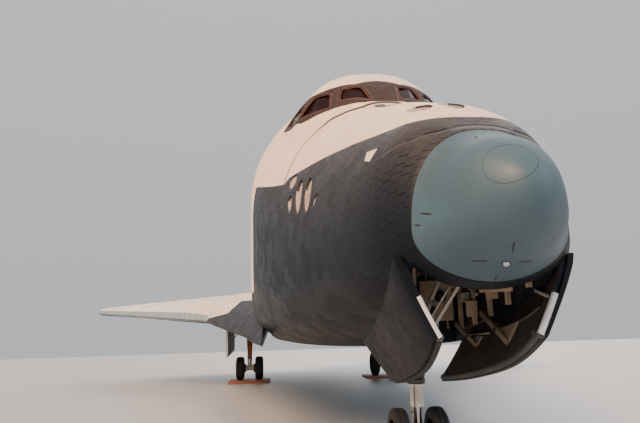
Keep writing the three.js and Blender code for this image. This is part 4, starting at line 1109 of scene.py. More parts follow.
# Windows: corners by station and angle, a brown frame and an orange-red seal round each pane
windows = {
    "front": [(433.4, 85), (456.4, 83.9), (465, 76.1), (453.6, 73)],
    "middle": [(455, 69.6), (468.5, 73.1), (484.3, 67.2), (489, 56)],
    "side": [(494, 53.8), (491.5, 64), (519, 60.5), (534, 50.5)],
    "overhead": [(516, 84.6), (540, 84.6), (540, 77), (516, 77)],
}
windowFrame = {"outside": 0.8, "bevel": 0.35, "rise": 0.1, "glassDepth": 0.76, "corner": 3.2}


def windowFrames(w, way, name):
    shape = Shape()
    outside, rise, deep = w["outside"], w["rise"], w["glassDepth"]
    cover = [(-outside - w["bevel"], -0.3), (-outside, rise), (-0.1, rise), (0.15, rise - 0.2), (0.15, -deep)]
    gasket = [(0.1, -deep), (0.14, -0.12), (0.7, -0.05), (0.75, -0.4), (1.25, -0.42), (1.3, -deep)]
    bead = [(1.25, -deep), (1.3, -0.4), (1.6, -0.25), (1.9, -0.4), (2.0, -deep)]
    for place, corners in windows.items():
        path = roundedPath(corners, w["corner"])
        rim = "frameEnamel" if place != "overhead" else "whiteSilicaTile"
        # the gasket uses the darker seal copy as painted shade
        for section, paint in ((cover, rim), (gasket, "sealShadow"), (bead, "orangeSeal")):
            hullBand(shape, path, section, paint, way, closed=True)
    finishShape(shape, name, slot="black_tile", sharpAngle=40)


for side, way in sides:
    windowFrames(windowFrame, way, f"window_frames_{side}")
print("nose and forward fuselage done")


# Nose gear well: roof frames, walls with round lightening holes, braces, boxes and hydraulic lines
noseWell = {"from": 279, "to": 405, "half": 28, "top": 330, "frames": 5, "depth": 3.2}


def wellFrames(shape, stations, half, top, low, depth, paint, middle=0.0):
    for x in stations:
        slab(shape, (x, middle, top - depth / 2 - 0.05), (0.5, 2 * half - 0.6, depth), paint, bevel=0.08)
        slab(shape, (x, middle, top - depth), (2.2, 2 * half - 0.6, 0.45), paint, bevel=0.1)
        for way in (1, -1):
            wall = middle + way * (half - 1.2)
            floor = low(x)
            slab(shape, (x, wall, (top + floor) / 2), (0.5, 2.2, top - floor - 1), paint, bevel=0.08)
            slab(shape, (x, wall - way * 1.1, (top + floor) / 2), (2, 0.45, top - floor - 1), paint, bevel=0.1)


def noseWellParts(w):
    shape = Shape()
    stations = np.linspace(w["from"] + 22, w["to"] - 18, w["frames"])
    low = lambda x: float(underside(x, w["half"])) + 4.5
    wellFrames(shape, stations, w["half"], w["top"], low, w["depth"], "wellPrimer")
    # round holes are rimmed discs whose dark middle is painted shade standing in for the opening
    hole = ["greySeal", "greySeal", "greySeal", "sootedLiner"]
    for way in (1, -1):
        wall = way * (w["half"] - 0.5)
        for z in (311, 320):  # stringers along the walls
            bar(shape, (w["from"] + 26, wall, z), (w["to"] - 1, wall, z - 2), 1.0, 1.6, "wellPrimer")
        for x in np.arange(w["from"] + 34, w["to"] - 8, 16):
            at = (x, way * w["half"] - way * 0.05, 315)
            lathe(shape, [(2.6, 0), (2.6, 0.5), (2.1, 0.5), (1.9, 0.1), (0.001, 0.1)], at, (0, -way, 0), hole, 20)
        # slanting closing panels at the front corners, each with a large round hole
        axes = [unit((1, -way * 0.55, 0)), (0, 0, 1), np.cross(unit((1, -way * 0.55, 0)), (0, 0, 1))]
        corner = np.array((w["from"] + 40, way * 19.5, 312.5))
        slab(shape, corner, (18, 17, 0.6), "wellPrimer", axes, bevel=0.1)
        facing = unit((-0.48, -way * 0.87, 0))
        profile = [(4.6, 0.2), (4.6, 0.9), (3.9, 0.9), (3.6, 0.35), (0.001, 0.35)]
        lathe(shape, profile, corner + (0, 0, -1), facing, hole, 28)
        tube(shape, [(w["to"] - 6, way * 22, 322), (w["to"] - 50, way * 24.4, 303.5)], 0.9, "equipmentEnamel", steps=1)
        # rod from the roof down to the door, and a bright closing panel with round holes on the rear wall
        if way > 0:
            bar(shape, (300, -9.6, 326), (300, 18.6, 286.6), 1.2, 2.2, "braceEnamel", (1, 0, 0))
            bar(shape, (301.6, -6, 326), (301.6, 19.5, 289), 0.8, 0.9, "machinedMetal", (1, 0, 0))
        slab(shape, (w["to"] - 2.2, way * 17.5, 301), (0.5, 20, 24), "wellPrimer", bevel=0.1)
        for y, z, size in ((19.5, 304, 3.9), (14, 295.5, 2.9)):
            profile = [(size + 0.9, 0.2), (size + 0.9, 0.7), (size, 0.7), (size - 0.3, 0.3), (0.001, 0.3)]
            lathe(shape, profile, (w["to"] - 2.3, way * y, z), (-1, 0, 0), hole, 28)
    runs = [(-20, 4.4, 0.45), (-16, 4.6, 0.6), (-12.4, 4.4, 0.35), (10, 4.5, 0.6), (15, 4.4, 0.4), (19.5, 4.6, 0.5)]
    for k, (y, drop, size) in enumerate(runs):
        z = w["top"] - drop
        path = [
            (w["from"] + 16, y, z), (320 + 4 * k, y, z), (326 + 4 * k, y + 1.2, z), (372, y + 1.2, z),
            (w["to"] - 1, y + 1.2, z),
        ]
        tube(shape, path, size, ("blackEnamel", "machinedMetal", "equipmentEnamel")[k % 3], sides=8, steps=4)
    for x, y, size in ((303, -18, (14, 10, 6)), (334, 16, (20, 9, 8)), (352, -17, (16, 10, 9)), (378, 15, (12, 9, 6))):
        slab(shape, (x, y, w["top"] - 5.2 - size[2] / 2), size, "equipmentEnamel", bevel=0.5)
    for way, ahead, z in ((1, 344, 306), (-1, 338, 309), (-1, 366, 300)):  # brackets standing off the walls
        slab(shape, (ahead, way * 24, z), (8, 7, 0.7), "wellPrimer")
        slab(shape, (ahead - 3.6, way * 24, z - 4), (0.7, 6, 8), "wellPrimer")
        slab(shape, (ahead + 2, way * 22.5, z + 2.6), (4.5, 4, 4.6), "equipmentEnamel", bevel=0.3)
    for y in np.arange(-24, 25, 6):  # rear wall stiffeners with round holes between
        slab(shape, (w["to"] - 0.7, y, 306), (1.2, 0.6, 44), "wellPrimer", bevel=0.1)
        for z in (292, 302, 312, 321):
            if y < 24:
                at = (w["to"] - 0.05, y + 3, z)
                lathe(shape, [(1.9, 0), (1.9, 0.5), (1.5, 0.5), (1.3, 0.1), (0.001, 0.1)], at, (-1, 0, 0), hole, 18)
    finishShape(shape, "nose_well_structure", slot="black_tile")


noseWellParts(noseWell)

# Nose gear doors: structure with a smooth brown-grey liner, a thick layer of tiles on the outside, a white
# seal round the front end and a grey bulb seal along the free edge
noseDoor = {
    "top": 3.5,
    "thickness": 2.4,
    "frontDrop": 28,
    "rearDrop": 24,
    "lean": 9.5,
    "edge": 27.985,
    "from": 280,
    "to": 386,
    "tileTop": 2.6,
    "tileLow": 1.9,
    "hinges": (299, 348, 376),
    "twist": ((4.9, 2.3), (1.8, -5.2)),  # inches that the panel is set outward: hinge and free edge, both ends
}


def doorOuter(d, x, t, inward=0.0):
    x, t, inward = np.broadcast_arrays(np.asarray(x, float), np.asarray(t, float), np.asarray(inward, float))
    top = underside(x, d["edge"]) + d["top"]
    drop = np.interp(x, (noseWell["from"], noseWell["to"]), (d["frontDrop"], d["rearDrop"]))
    aft = (x - d["from"]) / (noseWell["to"] - d["from"])
    (frontTop, frontLow), (rearTop, rearLow) = d["twist"]
    down = np.maximum(t, 0)
    outward = (frontTop * (1 - down) + frontLow * down) * (1 - aft) + (rearTop * (1 - down) + rearLow * down) * aft
    return np.stack([x, d["edge"] - d["lean"] * down**1.25 + outward - inward, top - drop * t], -1)


def noseGearDoor(d, way, side):
    shape = Shape()
    front, rear, thick = d["from"], d["to"], d["thickness"]
    at = lambda x, t, inward=0.0: onSide(doorOuter(d, x, t, inward), way)
    steps = np.linspace(-0.12, 1, 10)
    last = len(steps) - 1
    rings = []
    for x in np.concatenate([[front + 0.7], np.linspace(front + 3, rear - 0.5, 22), [rear]]):
        rings.append(onSide(np.concatenate([doorOuter(d, x, steps), doorOuter(d, x, steps[::-1], thick)]), way))

    def paint(band, place):
        return "blackSilicaTile" if place < last else "greySeal" if place == last else "doorLiner"

    skinRings(shape, rings, paint)
    # tiles on the outer face, thick at the hinge and thinner towards the free edge
    spread = np.linspace(-0.05, 1.035, 10)
    proud = d["tileTop"] + (d["tileLow"] - d["tileTop"]) * np.linspace(0, 1, 10)
    rings = []
    for x, share in [(front - 0.3, 0.82), (front + 0.4, 1)] + [
        (x, 1) for x in np.linspace(front + 6, rear - 0.6, 20)
    ] + [(rear + 0.1, 0.8)]:
        outer, inner = doorOuter(d, x, spread, -proud * share), doorOuter(d, x, spread[::-1], 0.1)
        rings.append(onSide(np.concatenate([outer, inner]), way))
    skinRings(shape, rings, "blackSilicaTile")
    free = doorOuter(d, np.linspace(front + 1, rear - 1, 24), 0.985, thick * 0.6)
    sweep(shape, onSide(free, way), circle(1.75, 16), "bulbSeal")
    black = doorOuter(d, np.linspace(front + 1.4, rear - 1, 24), 1.035, 0.5)
    sweep(
        shape,
        onSide(black, way),
        [(-1.1, -0.9), (-1.1, 0.4), (-0.7, 0.8), (0.7, 0.8), (1.1, 0.4), (1.1, -0.9)],
        "tileEdge",
    )
    # convex white seal over the front end
    strip = doorOuter(d, np.full(12, front + 0.9), np.linspace(0.46, 1.0, 12), thick / 2 + 0.05)
    bow = [(1.3 * math.cos(a), 0.2 + 0.95 * math.sin(a)) for a in np.linspace(0, math.pi, 9)]
    sweep(shape, onSide(strip, way), bow + [(-1.3, -0.6), (1.3, -0.6)], "whiteSeal", np.tile((-1.0, 0, 0), (12, 1)))
    # two recesses behind the hinges, their floors painted black as painted shadow, framed in thin brown and light edges
    for x0, x1, low0, low1, edge in ((292, 336, 0.4, 0.24, "doorLiner"), (345, 376, 0.25, 0.1, "braceEnamel")):
        xs = np.linspace(x0, x1, 9)
        lows, highs = np.interp(xs, (x0, x1), (low0, low1)), np.full(9, -0.07)
        ring = [
            doorOuter(d, xs, lows, thick - 0.2),
            doorOuter(d, xs, lows, thick + 0.12),
            doorOuter(d, xs, highs, thick + 0.12),
            doorOuter(d, xs, highs, thick - 0.2),
        ]
        skinRings(shape, onSide(np.stack(ring, 1), way), "blackCloth")
        for level, colour in ((lows, edge), (highs, "doorLiner")):
            sweep(
                shape, at(xs, level, thick + 0.25), [(-0.35, -0.35), (-0.35, 0.35), (0.35, 0.35), (0.35, -0.35)],
                colour,
            )
    bar(shape, at(303, -0.05, thick + 0.7), at(284, 0.42, thick + 0.7), 0.9, 1.5, "braceEnamel")
    slab(shape, at(284, 0.9, thick + 0.7), (2.6, 1.6, 2.6), "machinedMetal", bevel=0.3)
    slab(shape, at(357, 0.26, thick + 0.6), (4.5, 1.2, 1.6), "whiteSeal", bevel=0.2)
    # flat hinge arms that run forward from the wall on to the liner, with a triangular foot
    for x, reach, low, foot in ((352, 38, 0.64, 0.31), (389, 34, 0.42, 0.16)):
        start, end = doorOuter(d, x, -0.2, thick + 4.2), doorOuter(d, x - reach, low, thick + 0.9)
        bar(shape, onSide(start, way), onSide(end, way), 0.8, 2.6, "armEnamel", onSide((0, 0.3, 1), way))
        corners = [(x - 0.52 * reach, low * 0.45, 0.7), (x - reach, low, 0.5), (x - reach - 1.5, low - foot, 0.5)]
        near = [doorOuter(d, a, t, thick + off + 0.8) for a, t, off in corners]
        far = [doorOuter(d, a, t, thick + off - 0.6) for a, t, off in corners]
        skinRings(shape, [onSide(near, way), onSide(far, way)], "armEnamel")
        bolt = onSide(start + 0.6 * (end - start) - (0, 0.5, 0), way)
        studs(shape, [bolt], (0, -way, 0), 0.9, 0.5, "sootedLiner", 14)
        slab(shape, at(x, -0.2, thick + 1.6), (4, 5.4, 3), "machinedMetal", bevel=0.3)
    for x in d["hinges"]:
        top = doorOuter(d, x, 0.0)
        slab(shape, onSide(top + (0, -1.4, 6.2), way), (5, 1.8, 3.2), "machinedMetal", bevel=0.3)
    name = f"nose_gear_door_{side}"
    finishShape(shape, name + "_panel", (0, 2), slot="black_tile", replaced=[name], sharpAngle=40)


for side, way in sides:
    noseGearDoor(noseDoor, way, side)

# Nose leg: fixed cylinder, trunnion and drag brace, with hoses; below it the steered collar, sleeve,
# piston and folding links
noseLeg = {"x": 395, "collarTop": 261, "axle": 225.51, "top": 322}


def noseLegParts(g):
    x = g["x"]
    shape = Shape()
    low = g["collarTop"] + 0.015
    column = [
        (2.6, low), (2.75, 262.4), (3.3, 262.6), (3.3, 265), (2.75, 265.2), (2.75, 284), (3.25, 284.2), (3.25, 287)
    ]
    column += [(2.75, 287.2), (2.75, 305), (3.6, 306), (3.6, 313), (3.0, 314), (3.0, g["top"])]
    lathe(shape, column, (x, 0, 0), (0, 0, 1), "zincPrimer", 32)
    beam = [
        (1.6, -27.9), (2.7, -27.6), (2.7, -24), (1.9, -23.6), (1.9, -6), (2.8, -5), (2.8, 5), (1.9, 6), (1.9, 23.6),
        (2.7, 24), (2.7, 27.6), (1.6, 27.9),
    ]
    lathe(shape, beam, (x, 0, 318), (0, 1, 0), "zincPrimer", 28)
    slab(shape, (x, 0, 324), (6, 6, 11.8), "zincPrimer", bevel=0.6)
    for way in (1, -1):  # forked brace that folds up when the gear is drawn in
        tube(
            shape, [(x - 2, way * 1.8, 277), (x - 24, way * 5, 302), (x - 46, way * 11, 325.5)], 1.3,
            "equipmentEnamel", steps=3, sides=12,
        )
        slab(shape, (x - 23, way * 5, 301), (4.4, 1.6, 4.4), "machinedMetal", bevel=0.3)
        tube(
            shape,
            [(x + 1.5, way * 3.1, 264), (x + 1.2, way * 4.6, 275), (x, way * 4.2, 292), (x + 1, way * 5.4, 312)],
            0.38, "blackEnamel", sides=8,
        )
        lathe(
            shape, [(1.3, -4.2), (1.5, -4), (1.5, 3), (0.8, 3.1), (0.8, 6)], (x - 3.9, way * 3.4, 266),
            (0.3, way, 0), "machinedMetal", 20,
        )
    tube(shape, [(x - 46, -14, 327.98), (x - 46, 14, 327.98)], 1.9, "machinedMetal", steps=1, sides=16)
    for y, size in ((-1.6, 0.34), (0.2, 0.45), (1.8, 0.34)):
        path = [
            (x - 3.0, y, 264), (x - 3.9, y * 1.3, 272), (x - 3.5, y, 286), (x - 4.3, y * 1.4, 300),
            (x - 4.6, y * 2, 314),
        ]
        tube(shape, path, size, "blackEnamel" if y else "machinedMetal", sides=8)
    for z in (273, 283, 295):
        lathe(shape, [(2.8, -0.4), (3.15, -0.35), (3.15, 0.35), (2.8, 0.4)], (x, 0, z), (0, 0, 1), "machinedMetal", 28)
        slab(shape, (x - 3.4, 0, z), (1.4, 4.6, 0.8), "machinedMetal")
    finishShape(shape, "nose_leg_parts", slot="gear_paint", replaced=["nose_gear_leg"])

    shape = Shape()
    collar = [
        (3.5, 254.5), (5.1, 254.6), (5.4, 255.1), (5.4, 257.2), (5.0, 257.5), (5.0, 258.4), (5.4, 258.7),
        (5.4, 260.4), (5.1, 260.9), (3.0, 261),
    ]
    lathe(shape, collar, (x, 0, 0), (0, 0, 1), "blackEnamel", 40)
    sleeve = [
        (2.4, 242), (3.7, 242.1), (4.0, 242.6), (4.0, 244.4), (3.75, 244.6), (3.75, 252.6), (4.0, 252.8),
        (4.0, 254.6), (3.2, 254.7),
    ]
    lathe(shape, sleeve, (x, 0, 0), (0, 0, 1), "gearEnamel", 36)
    piston = [(2.2, 228), (2.2, 242.2)]
    lathe(shape, piston, (x, 0, 0), (0, 0, 1), "polishedSteel", 28)
    lathe(shape, [(2.6, 227.4), (3.0, 228), (3.0, 230.4), (2.3, 231)], (x, 0, 0), (0, 0, 1), "gearEnamel", 28)
    axle = [(1.83, -4.5), (2.9, -4.5), (3.3, -3.9), (3.3, 3.9), (2.9, 4.5), (1.83, 4.5)]
    lathe(shape, axle, (x, 0, g["axle"]), (0, 1, 0), "gearEnamel", 32)
    for way in (1, -1):  # folding links behind the piston
        bar(shape, (x + 3.4, way * 1.3, 229.6), (x + 9, way * 0.55, 237), 0.7, 1.9, "gearEnamel", (1, 0, 0.3))
        bar(shape, (x + 9, way * 0.55, 237), (x + 3.3, way * 1.4, 245), 0.7, 1.9, "gearEnamel", (1, 0, -0.3))
        slab(shape, (x - 3.4, way * 1.6, 229.4), (1.6, 0.8, 2.6), "gearEnamel", bevel=0.2)
    tube(shape, [(x + 9, -1.6, 237), (x + 9, 1.6, 237)], 0.7, "machinedMetal", steps=1, sides=12)
    tube(shape, [(x - 3.6, -2.6, 229.2), (x - 3.6, 2.6, 229.2)], 0.45, "machinedMetal", steps=1, sides=12)
    studs(
        shape, [(x - 5.35 * math.cos(a), 5.35 * math.sin(a), 256.2) for a in (-0.5, 0, 0.5)], (-1, 0, 0), 0.4, 0.45,
        "machinedMetal",
    )
    tube(
        shape, [(x - 3.9, 2.2, 254), (x - 4.6, 2.6, 247), (x - 3.6, 2.4, 238), (x - 2.6, 2.4, 230)], 0.28,
        "blackEnamel", sides=8,
    )
    finishShape(shape, "nose_steering_parts", body="nose_steering", slot="gear_paint", replaced=["nose_gear_steering"])


noseLegParts(noseLeg)

# Wheels and tyres: middle, radius, width, rim radius and the marks that tell one from another
noseTyre = {"radius": 15.87, "width": 8.8, "rim": 8, "grooves": (-1.5, 1.5), "bolts": 8, "holes": 0}
mainTyre = {"radius": 22.24, "width": 16, "rim": 10.5, "grooves": (-4.2, -1.4, 1.4, 4.2), "bolts": 12, "holes": 9}


def tyreParts(shape, t, middle):
    r, half, rim = t["radius"], t["width"] / 2, t["rim"]
    rise = r - rim
    wall = [
        (rim, 0.66), (rim + 0.06 * rise, 0.78), (rim + 0.22 * rise, 0.92), (rim + 0.42 * rise, 0.995),
        (rim + 0.62 * rise, 0.985),
    ]
    wall += [(rim + 0.8 * rise, 0.9), (rim + 0.91 * rise, 0.76), (r - 0.035 * rise, 0.6)]
    outer = [(a, b * half) for a, b in wall]
    crown = lambda s: r - 0.035 * rise * (abs(s) / (0.6 * half)) ** 2
    tread = []
    for place in sorted(t["grooves"], reverse=True):
        tread += [
            (crown(place + 0.3), place + 0.3),
            (crown(place) - 0.4, place + 0.2),
            (crown(place) - 0.4, place - 0.2),
            (crown(place - 0.3), place - 0.3),
        ]
    profile = outer + tread + [(a, -b) for a, b in reversed(outer)] + [
        (rim - 0.2, -0.6 * half), (rim - 0.2, 0.6 * half), outer[0]
    ]
    lathe(shape, profile, middle, (0, 1, 0), "tyreRubber", 96)
    for s in (0.62, 0.8):  # fine moulded ribs on both walls
        for way in (1, -1):
            q = rim + s * rise * 0.5
            lathe(
                shape, [(q - 0.12, way * half * 0.9), (q, way * (half * 0.985)), (q + 0.12, way * half * 0.9)],
                middle, (0, 1, 0), "tyreRubber", 72,
            )


def wheelParts(shape, t, middle, out):
    rim, half = t["rim"], 0.33 * t["width"]
    face = [
        (0.001, 1.02), (0.2, 1.02), (0.24, 0.9), (0.34, 0.88), (0.38, 0.6), (0.5, 0.42), (0.8, 0.4), (0.86, 0.62),
        (0.93, 0.98), (0.99, 1.0), (0.995, 0.86),
    ]
    back = [(0.995, -1.0), (0.9, -1.0), (0.84, -0.5), (0.4, -0.45), (0.001, -0.45)]
    profile = [(a * rim, out * b * half) for a, b in face + back]
    lathe(shape, profile, middle, (0, 1, 0), ["gearEnamel"] * 3 + ["machinedMetal"] * (len(profile) - 4), 64)
    at = lambda radius, turn, s: (
        middle[0] + radius * math.cos(turn), middle[1] + out * s, middle[2] + radius * math.sin(turn)
    )
    for k in range(t["bolts"]):
        studs(
            shape, [at(0.9 * rim, 2 * math.pi * k / t["bolts"], 0.78 * half)], (0, out, 0), 0.42, 0.7, "polishedSteel"
        )
        studs(
            shape, [at(0.3 * rim, 2 * math.pi * (k + 0.5) / t["bolts"], 0.89 * half)], (0, out, 0), 0.22, 0.35,
            "polishedSteel",
        )
    for k in range(t["holes"]):
        spot = at(0.64 * rim, 2 * math.pi * (k + 0.25) / t["holes"], 0.36 * half)
        lathe(shape, [(1.25, 0.1), (1.25, 0.45), (1.0, 0.5), (0.9, 0.32), (0.001, 0.32)], spot, (0, out, 0),
              socketPaints, 20)


def wheelSet(t, x, y, z, offset, axleRadius, tyreNodes, wheelNode, body):
    shape = Shape()
    for way in (1, -1):
        wheelParts(shape, t, (x, y + way * offset, z), way)
    lathe(shape, [(axleRadius, -offset + 1), (axleRadius, offset - 1)], (x, y, z), (0, 1, 0), "machinedMetal", 28)
    finishShape(shape, wheelNode + "_parts", body=body, slot="wheel_metal", replaced=[wheelNode])
    for way, node in tyreNodes:
        shape = Shape()
        tyreParts(shape, t, (x, y + way * offset, z))
        finishShape(shape, node + "_rubber", body=body, slot="tyre_rubber", replaced=[node], sharpAngle=40)


wheelSet(
    noseTyre, 395, 0, 225.5096, 11, 1.78, [(1, "nose_tyre_right"), (-1, "nose_tyre_left")], "nose_wheels",
    "nose_wheels",
)

# Main gear: leg, braces, links, brakes, door, well and the plate under the wheels
mainLeg = {
    "x": 1180,
    "y": 136,
    "axle": 179.2954,
    "top": 302.98,
    "offset": 18.8,
    "sleeve": [(3.9, 197), (4.6, 197.4), (4.9, 212), (5.9, 229), (5.9, 234.8)],  # radius and height of the lock sleeve
}


def mainLegParts(g, side, way):
    x, y, axle = g["x"], way * g["y"], g["axle"]
    shape = Shape()
    column = [(4.2, 235), (5.6, 235.2), (6, 236), (6, 240), (5.5, 240.4), (5.5, 262)]
    upper = [(5.5, 262.1), (6, 262.4), (6, 267), (5.6, 267.4), (5.6, 288), (6, 289), (6, g["top"])]
    lathe(shape, column, (x, y, 0), (0, 0, 1), "redLeadPaint", 40)
    lathe(shape, upper, (x, y, 0), (0, 0, 1), "blackEnamel", 40)
    lathe(shape, [(3.85, axle + 4), (3.85, 236)], (x, y, 0), (0, 0, 1), "polishedSteel", 36)
    lathe(
        shape, [(4.6, axle + 2), (4.9, axle + 3.6), (4.9, axle + 6.4), (4, axle + 7.2)], (x, y, 0), (0, 0, 1),
        "gearEnamel", 36,
    )
    lathe(shape, g["sleeve"], (x, y, 0), (0, 0, 1), "redLeadPaint", 36)
    beam = [
        (2, -19.9), (3.1, -19.6), (3.1, -15), (2.4, -14.6), (2.4, -7), (3.2, -6), (3.2, 6), (2.4, 7), (2.4, 14.6),
        (3.1, 15), (3.1, 19.6), (2, 19.9),
    ]
    lathe(shape, beam, (x, y, 297), (0, 1, 0), "redLeadPaint", 28)
    tube(shape, [(x - 4, y, 242), (x - 58, y, 294)], 2.2, "redLeadPaint", steps=1, sides=18)
    tube(shape, [(x - 20, y - way * 4, 257.5), (x - 20, y + way * 4, 257.5)], 1.5, "machinedMetal", steps=1, sides=14)
    slab(shape, (x - 60, y, 297.9), (11.6, 15.6, 9.9), "redLeadPaint", bevel=0.8)
    hub = [(2.84, -6.95), (4.4, -6.9), (4.9, -6.2), (4.9, 6.2), (4.4, 6.9), (2.84, 6.95)]
    lathe(shape, hub, (x, y, axle), (0, 1, 0), "gearEnamel", 36)
    for s in (1, -1):
        bar(shape, (x + 4.5, y + s * 1.8, 238), (x + 14, y + s * 0.8, 212), 1.0, 2.8, "gearEnamel", (1, 0, 0.3))
        bar(shape, (x + 14, y + s * 0.8, 212), (x + 4.2, y + s * 1.8, 188), 1.0, 2.8, "gearEnamel", (1, 0, -0.3))
        stack = [(4.95, 7.0), (7.4, 7.05), (7.4, 8.2), (8.1, 8.3), (8.1, 12.6), (4.2, 12.7)]
        lathe(
            shape, [(r, s * d) for r, d in stack], (x, y, axle), (0, 1, 0), ["gearEnamel"] * 2 + ["brakeSteel"] * 3,
            40,
        )
        for turn in np.arange(6) * math.pi / 3 + 0.3:
            spot = (x + 6.4 * math.cos(turn), y + s * 6.2, axle + 6.4 * math.sin(turn))
            lathe(shape, [(0.9, 0), (0.9, 1.2), (0.5, 1.4)], spot, (0, s, 0), "machinedMetal", 12)
        hose = [
            (x - 5.6, y + s * 2, 258),
            (x - 7, y + s * 3, 236),
            (x - 6.4, y + s * 3.6, 205),
            (x - 5.4, y + s * 6.6, axle + 5),
        ]
        tube(shape, hose, 0.4, "blackEnamel", sides=8)
        tube(
            shape, [(x - 6.4, y + s * 1.2, 298), (x - 6.6, y + s * 1.2, 280), (x - 6.2, y + s * 1.4, 262)], 0.4,
            "machinedMetal", sides=8,
        )
    tube(shape, [(x + 14, y - 2, 212), (x + 14, y + 2, 212)], 0.9, "machinedMetal", steps=1, sides=12)
    for z in (248, 256, 272, 284):
        lathe(shape, [(5.5, -0.5), (6.1, -0.4), (6.1, 0.4), (5.5, 0.5)], (x, y, z), (0, 0, 1), "machinedMetal", 32)
    tube(
        shape, [(x - 12, way * 141, 270), (x - 18, way * 154, 252), (x - 20, way * 165.8, 240)], 1.0,
        "equipmentEnamel", steps=3,
    )
    name = f"main_gear_leg_{side}"
    finishShape(shape, name + "_parts", slot="gear_paint", replaced=[name])


mainDoor = {"from": 1042, "to": 1192, "inner": 166.8, "outer": 169.985, "top": 275, "low": 213.97}


def mainGearDoor(d, side, way):
    shape = Shape()
    middle = ((d["from"] + d["to"]) / 2, way * (d["inner"] + d["outer"] + 0.6) / 2, (d["top"] + d["low"]) / 2)
    size = (d["to"] - d["from"], d["outer"] - d["inner"] - 0.6, d["top"] - d["low"])
    slab(shape, middle, size, "blackSilicaTile", bevel=0.5)
    inner = way * (d["inner"] + 0.3)
    liner = (middle[0], inner + way * 0.15, middle[2] - 0.5)
    slab(shape, liner, (size[0] - 2, 0.5, size[2] - 3), "doorLiner")
    for x in np.linspace(d["from"] + 8, d["to"] - 8, 9):
        slab(shape, (x, inner - way * 0.05, middle[2] - 1), (1.6, 0.9, size[2] - 8), "doorLiner", bevel=0.2)
    for z in (d["low"] + 4, middle[2], d["top"] - 8):
        slab(shape, (middle[0], inner - way * 0.05, z), (size[0] - 12, 0.95, 1.8), "doorLiner", bevel=0.2)
    for x in (d["from"] + 0.6, d["to"] - 0.6):
        slab(shape, (x, way * (d["inner"] + 1.5), middle[2]), (1.3, 2.6, size[2] - 1), "whiteSeal", bevel=0.3)
    edge, low = way * (d["inner"] + 1.5), d["low"] + 0.2
    bar(shape, (d["from"] + 1, edge, low), (d["to"] - 1, edge, low), 2.8, 1.2, "greySeal", bevel=0.4)
    for x in (1066, 1117, 1168):
        slab(shape, (x, way * (d["inner"] + 0.1), d["top"] - 3), (6, 1.8, 7), "machinedMetal", bevel=0.3)
    name = f"main_gear_door_{side}"
    finishShape(shape, name + "_panel", (0, 2), slot="black_tile", replaced=[name])


mainWell = {"from": 1040, "to": 1194, "middle": 140, "half": 30, "top": 303}


def mainWellParts(w, side, way):
    shape = Shape()
    low = lambda x: 274.0
    stations = [x for x in np.linspace(w["from"] + 10, w["to"] - 8, 8) if abs(x - 1120) > 8 and abs(x - 1180) > 8]
    wellFrames(shape, stations, w["half"], w["top"], low, 2.6, "wellPrimer", way * w["middle"])
    for k, y in enumerate((116, 119, 160, 163.5)):
        path = [
            (w["from"] + 2, way * y, 298),
            (1085, way * y, 298),
            (1095, way * (y + 1), 297),
            (w["to"] - 2, way * (y + 1), 297),
        ]
        tube(shape, path, 0.6 - 0.1 * (k % 2), ("blackEnamel", "machinedMetal")[k % 2], sides=8, steps=4)
    for x, size in ((1060, (16, 10, 6)), (1150, (12, 9, 7))):
        slab(shape, (x, way * 122, 299 - size[2] / 2), size, "equipmentEnamel", bevel=0.5)
    finishShape(shape, f"main_well_structure_{side}", slot="black_tile")


def wheelPlate(side):
    low, high = (np.array(c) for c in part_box(f"wheel_plate_{side}"))
    shape = Shape()
    axes = [unit(toStation(a) - toStation((0, 0, 0))) for a in np.eye(3)]
    size, middle = (high - low) / inch, toStation((low + high) / 2)
    slab(shape, middle, size, "redLeadPaint", axes, 0.35)
    for i in (-1, 1):
        for j in (-1, 1):  # lifting sockets near the corners
            spot = middle + (i * (size[0] / 2 - 6)) * axes[0] + (j * (size[1] / 2 - 6)) * axes[1]
            spot = spot + (size[2] / 2 - 0.06) * axes[2]
            socket = [(2.2, 0), (2.2, 0.25), (1.6, 0.3), (1.4, 0.1), (0.001, 0.1)]
            lathe(shape, socket, spot, axes[2], socketPaints, 20)
    finishShape(shape, f"wheel_plate_{side}_steel", slot="plate_paint", replaced=[f"wheel_plate_{side}"])


for side, way in sides:
    mainLegParts(mainLeg, side, way)
    mainGearDoor(mainDoor, side, way)
    mainWellParts(mainWell, side, way)
    wheelPlate(side)
    tyres = [(way, f"main_tyre_outer_{side}"), (-way, f"main_tyre_inner_{side}")]
    wheels = f"main_wheels_{side}"
    wheelSet(
        mainTyre, mainLeg["x"], way * mainLeg["y"], mainLeg["axle"], mainLeg["offset"], 2.76, tyres, wheels, wheels
    )
print("landing gear done")


# Middle fuselage: white sides, black belly, the lined payload bay with its frames, and vent doors
bay = {"from": 584, "to": 1303, "radius": 92, "centre": 402, "frames": 13}
vents = [(620, 14), (700, 14), (820, 14), (950, 14), (1080, 14), (1210, 14)]


def hullPiece(node, piece, fineness, finishes, dark=darkHull, inward=(), **place):
    mesh, points, x, _ = refinedHull(node, *fineness, inward)
    if dark:
        setField(mesh, "dark", np.clip(dark(x, points[:, 2]), -9, 9))
    for name in finishes:
        mesh.materials.append(finish[name])
    addPiece(piece, mesh, replaced=[node], **place)


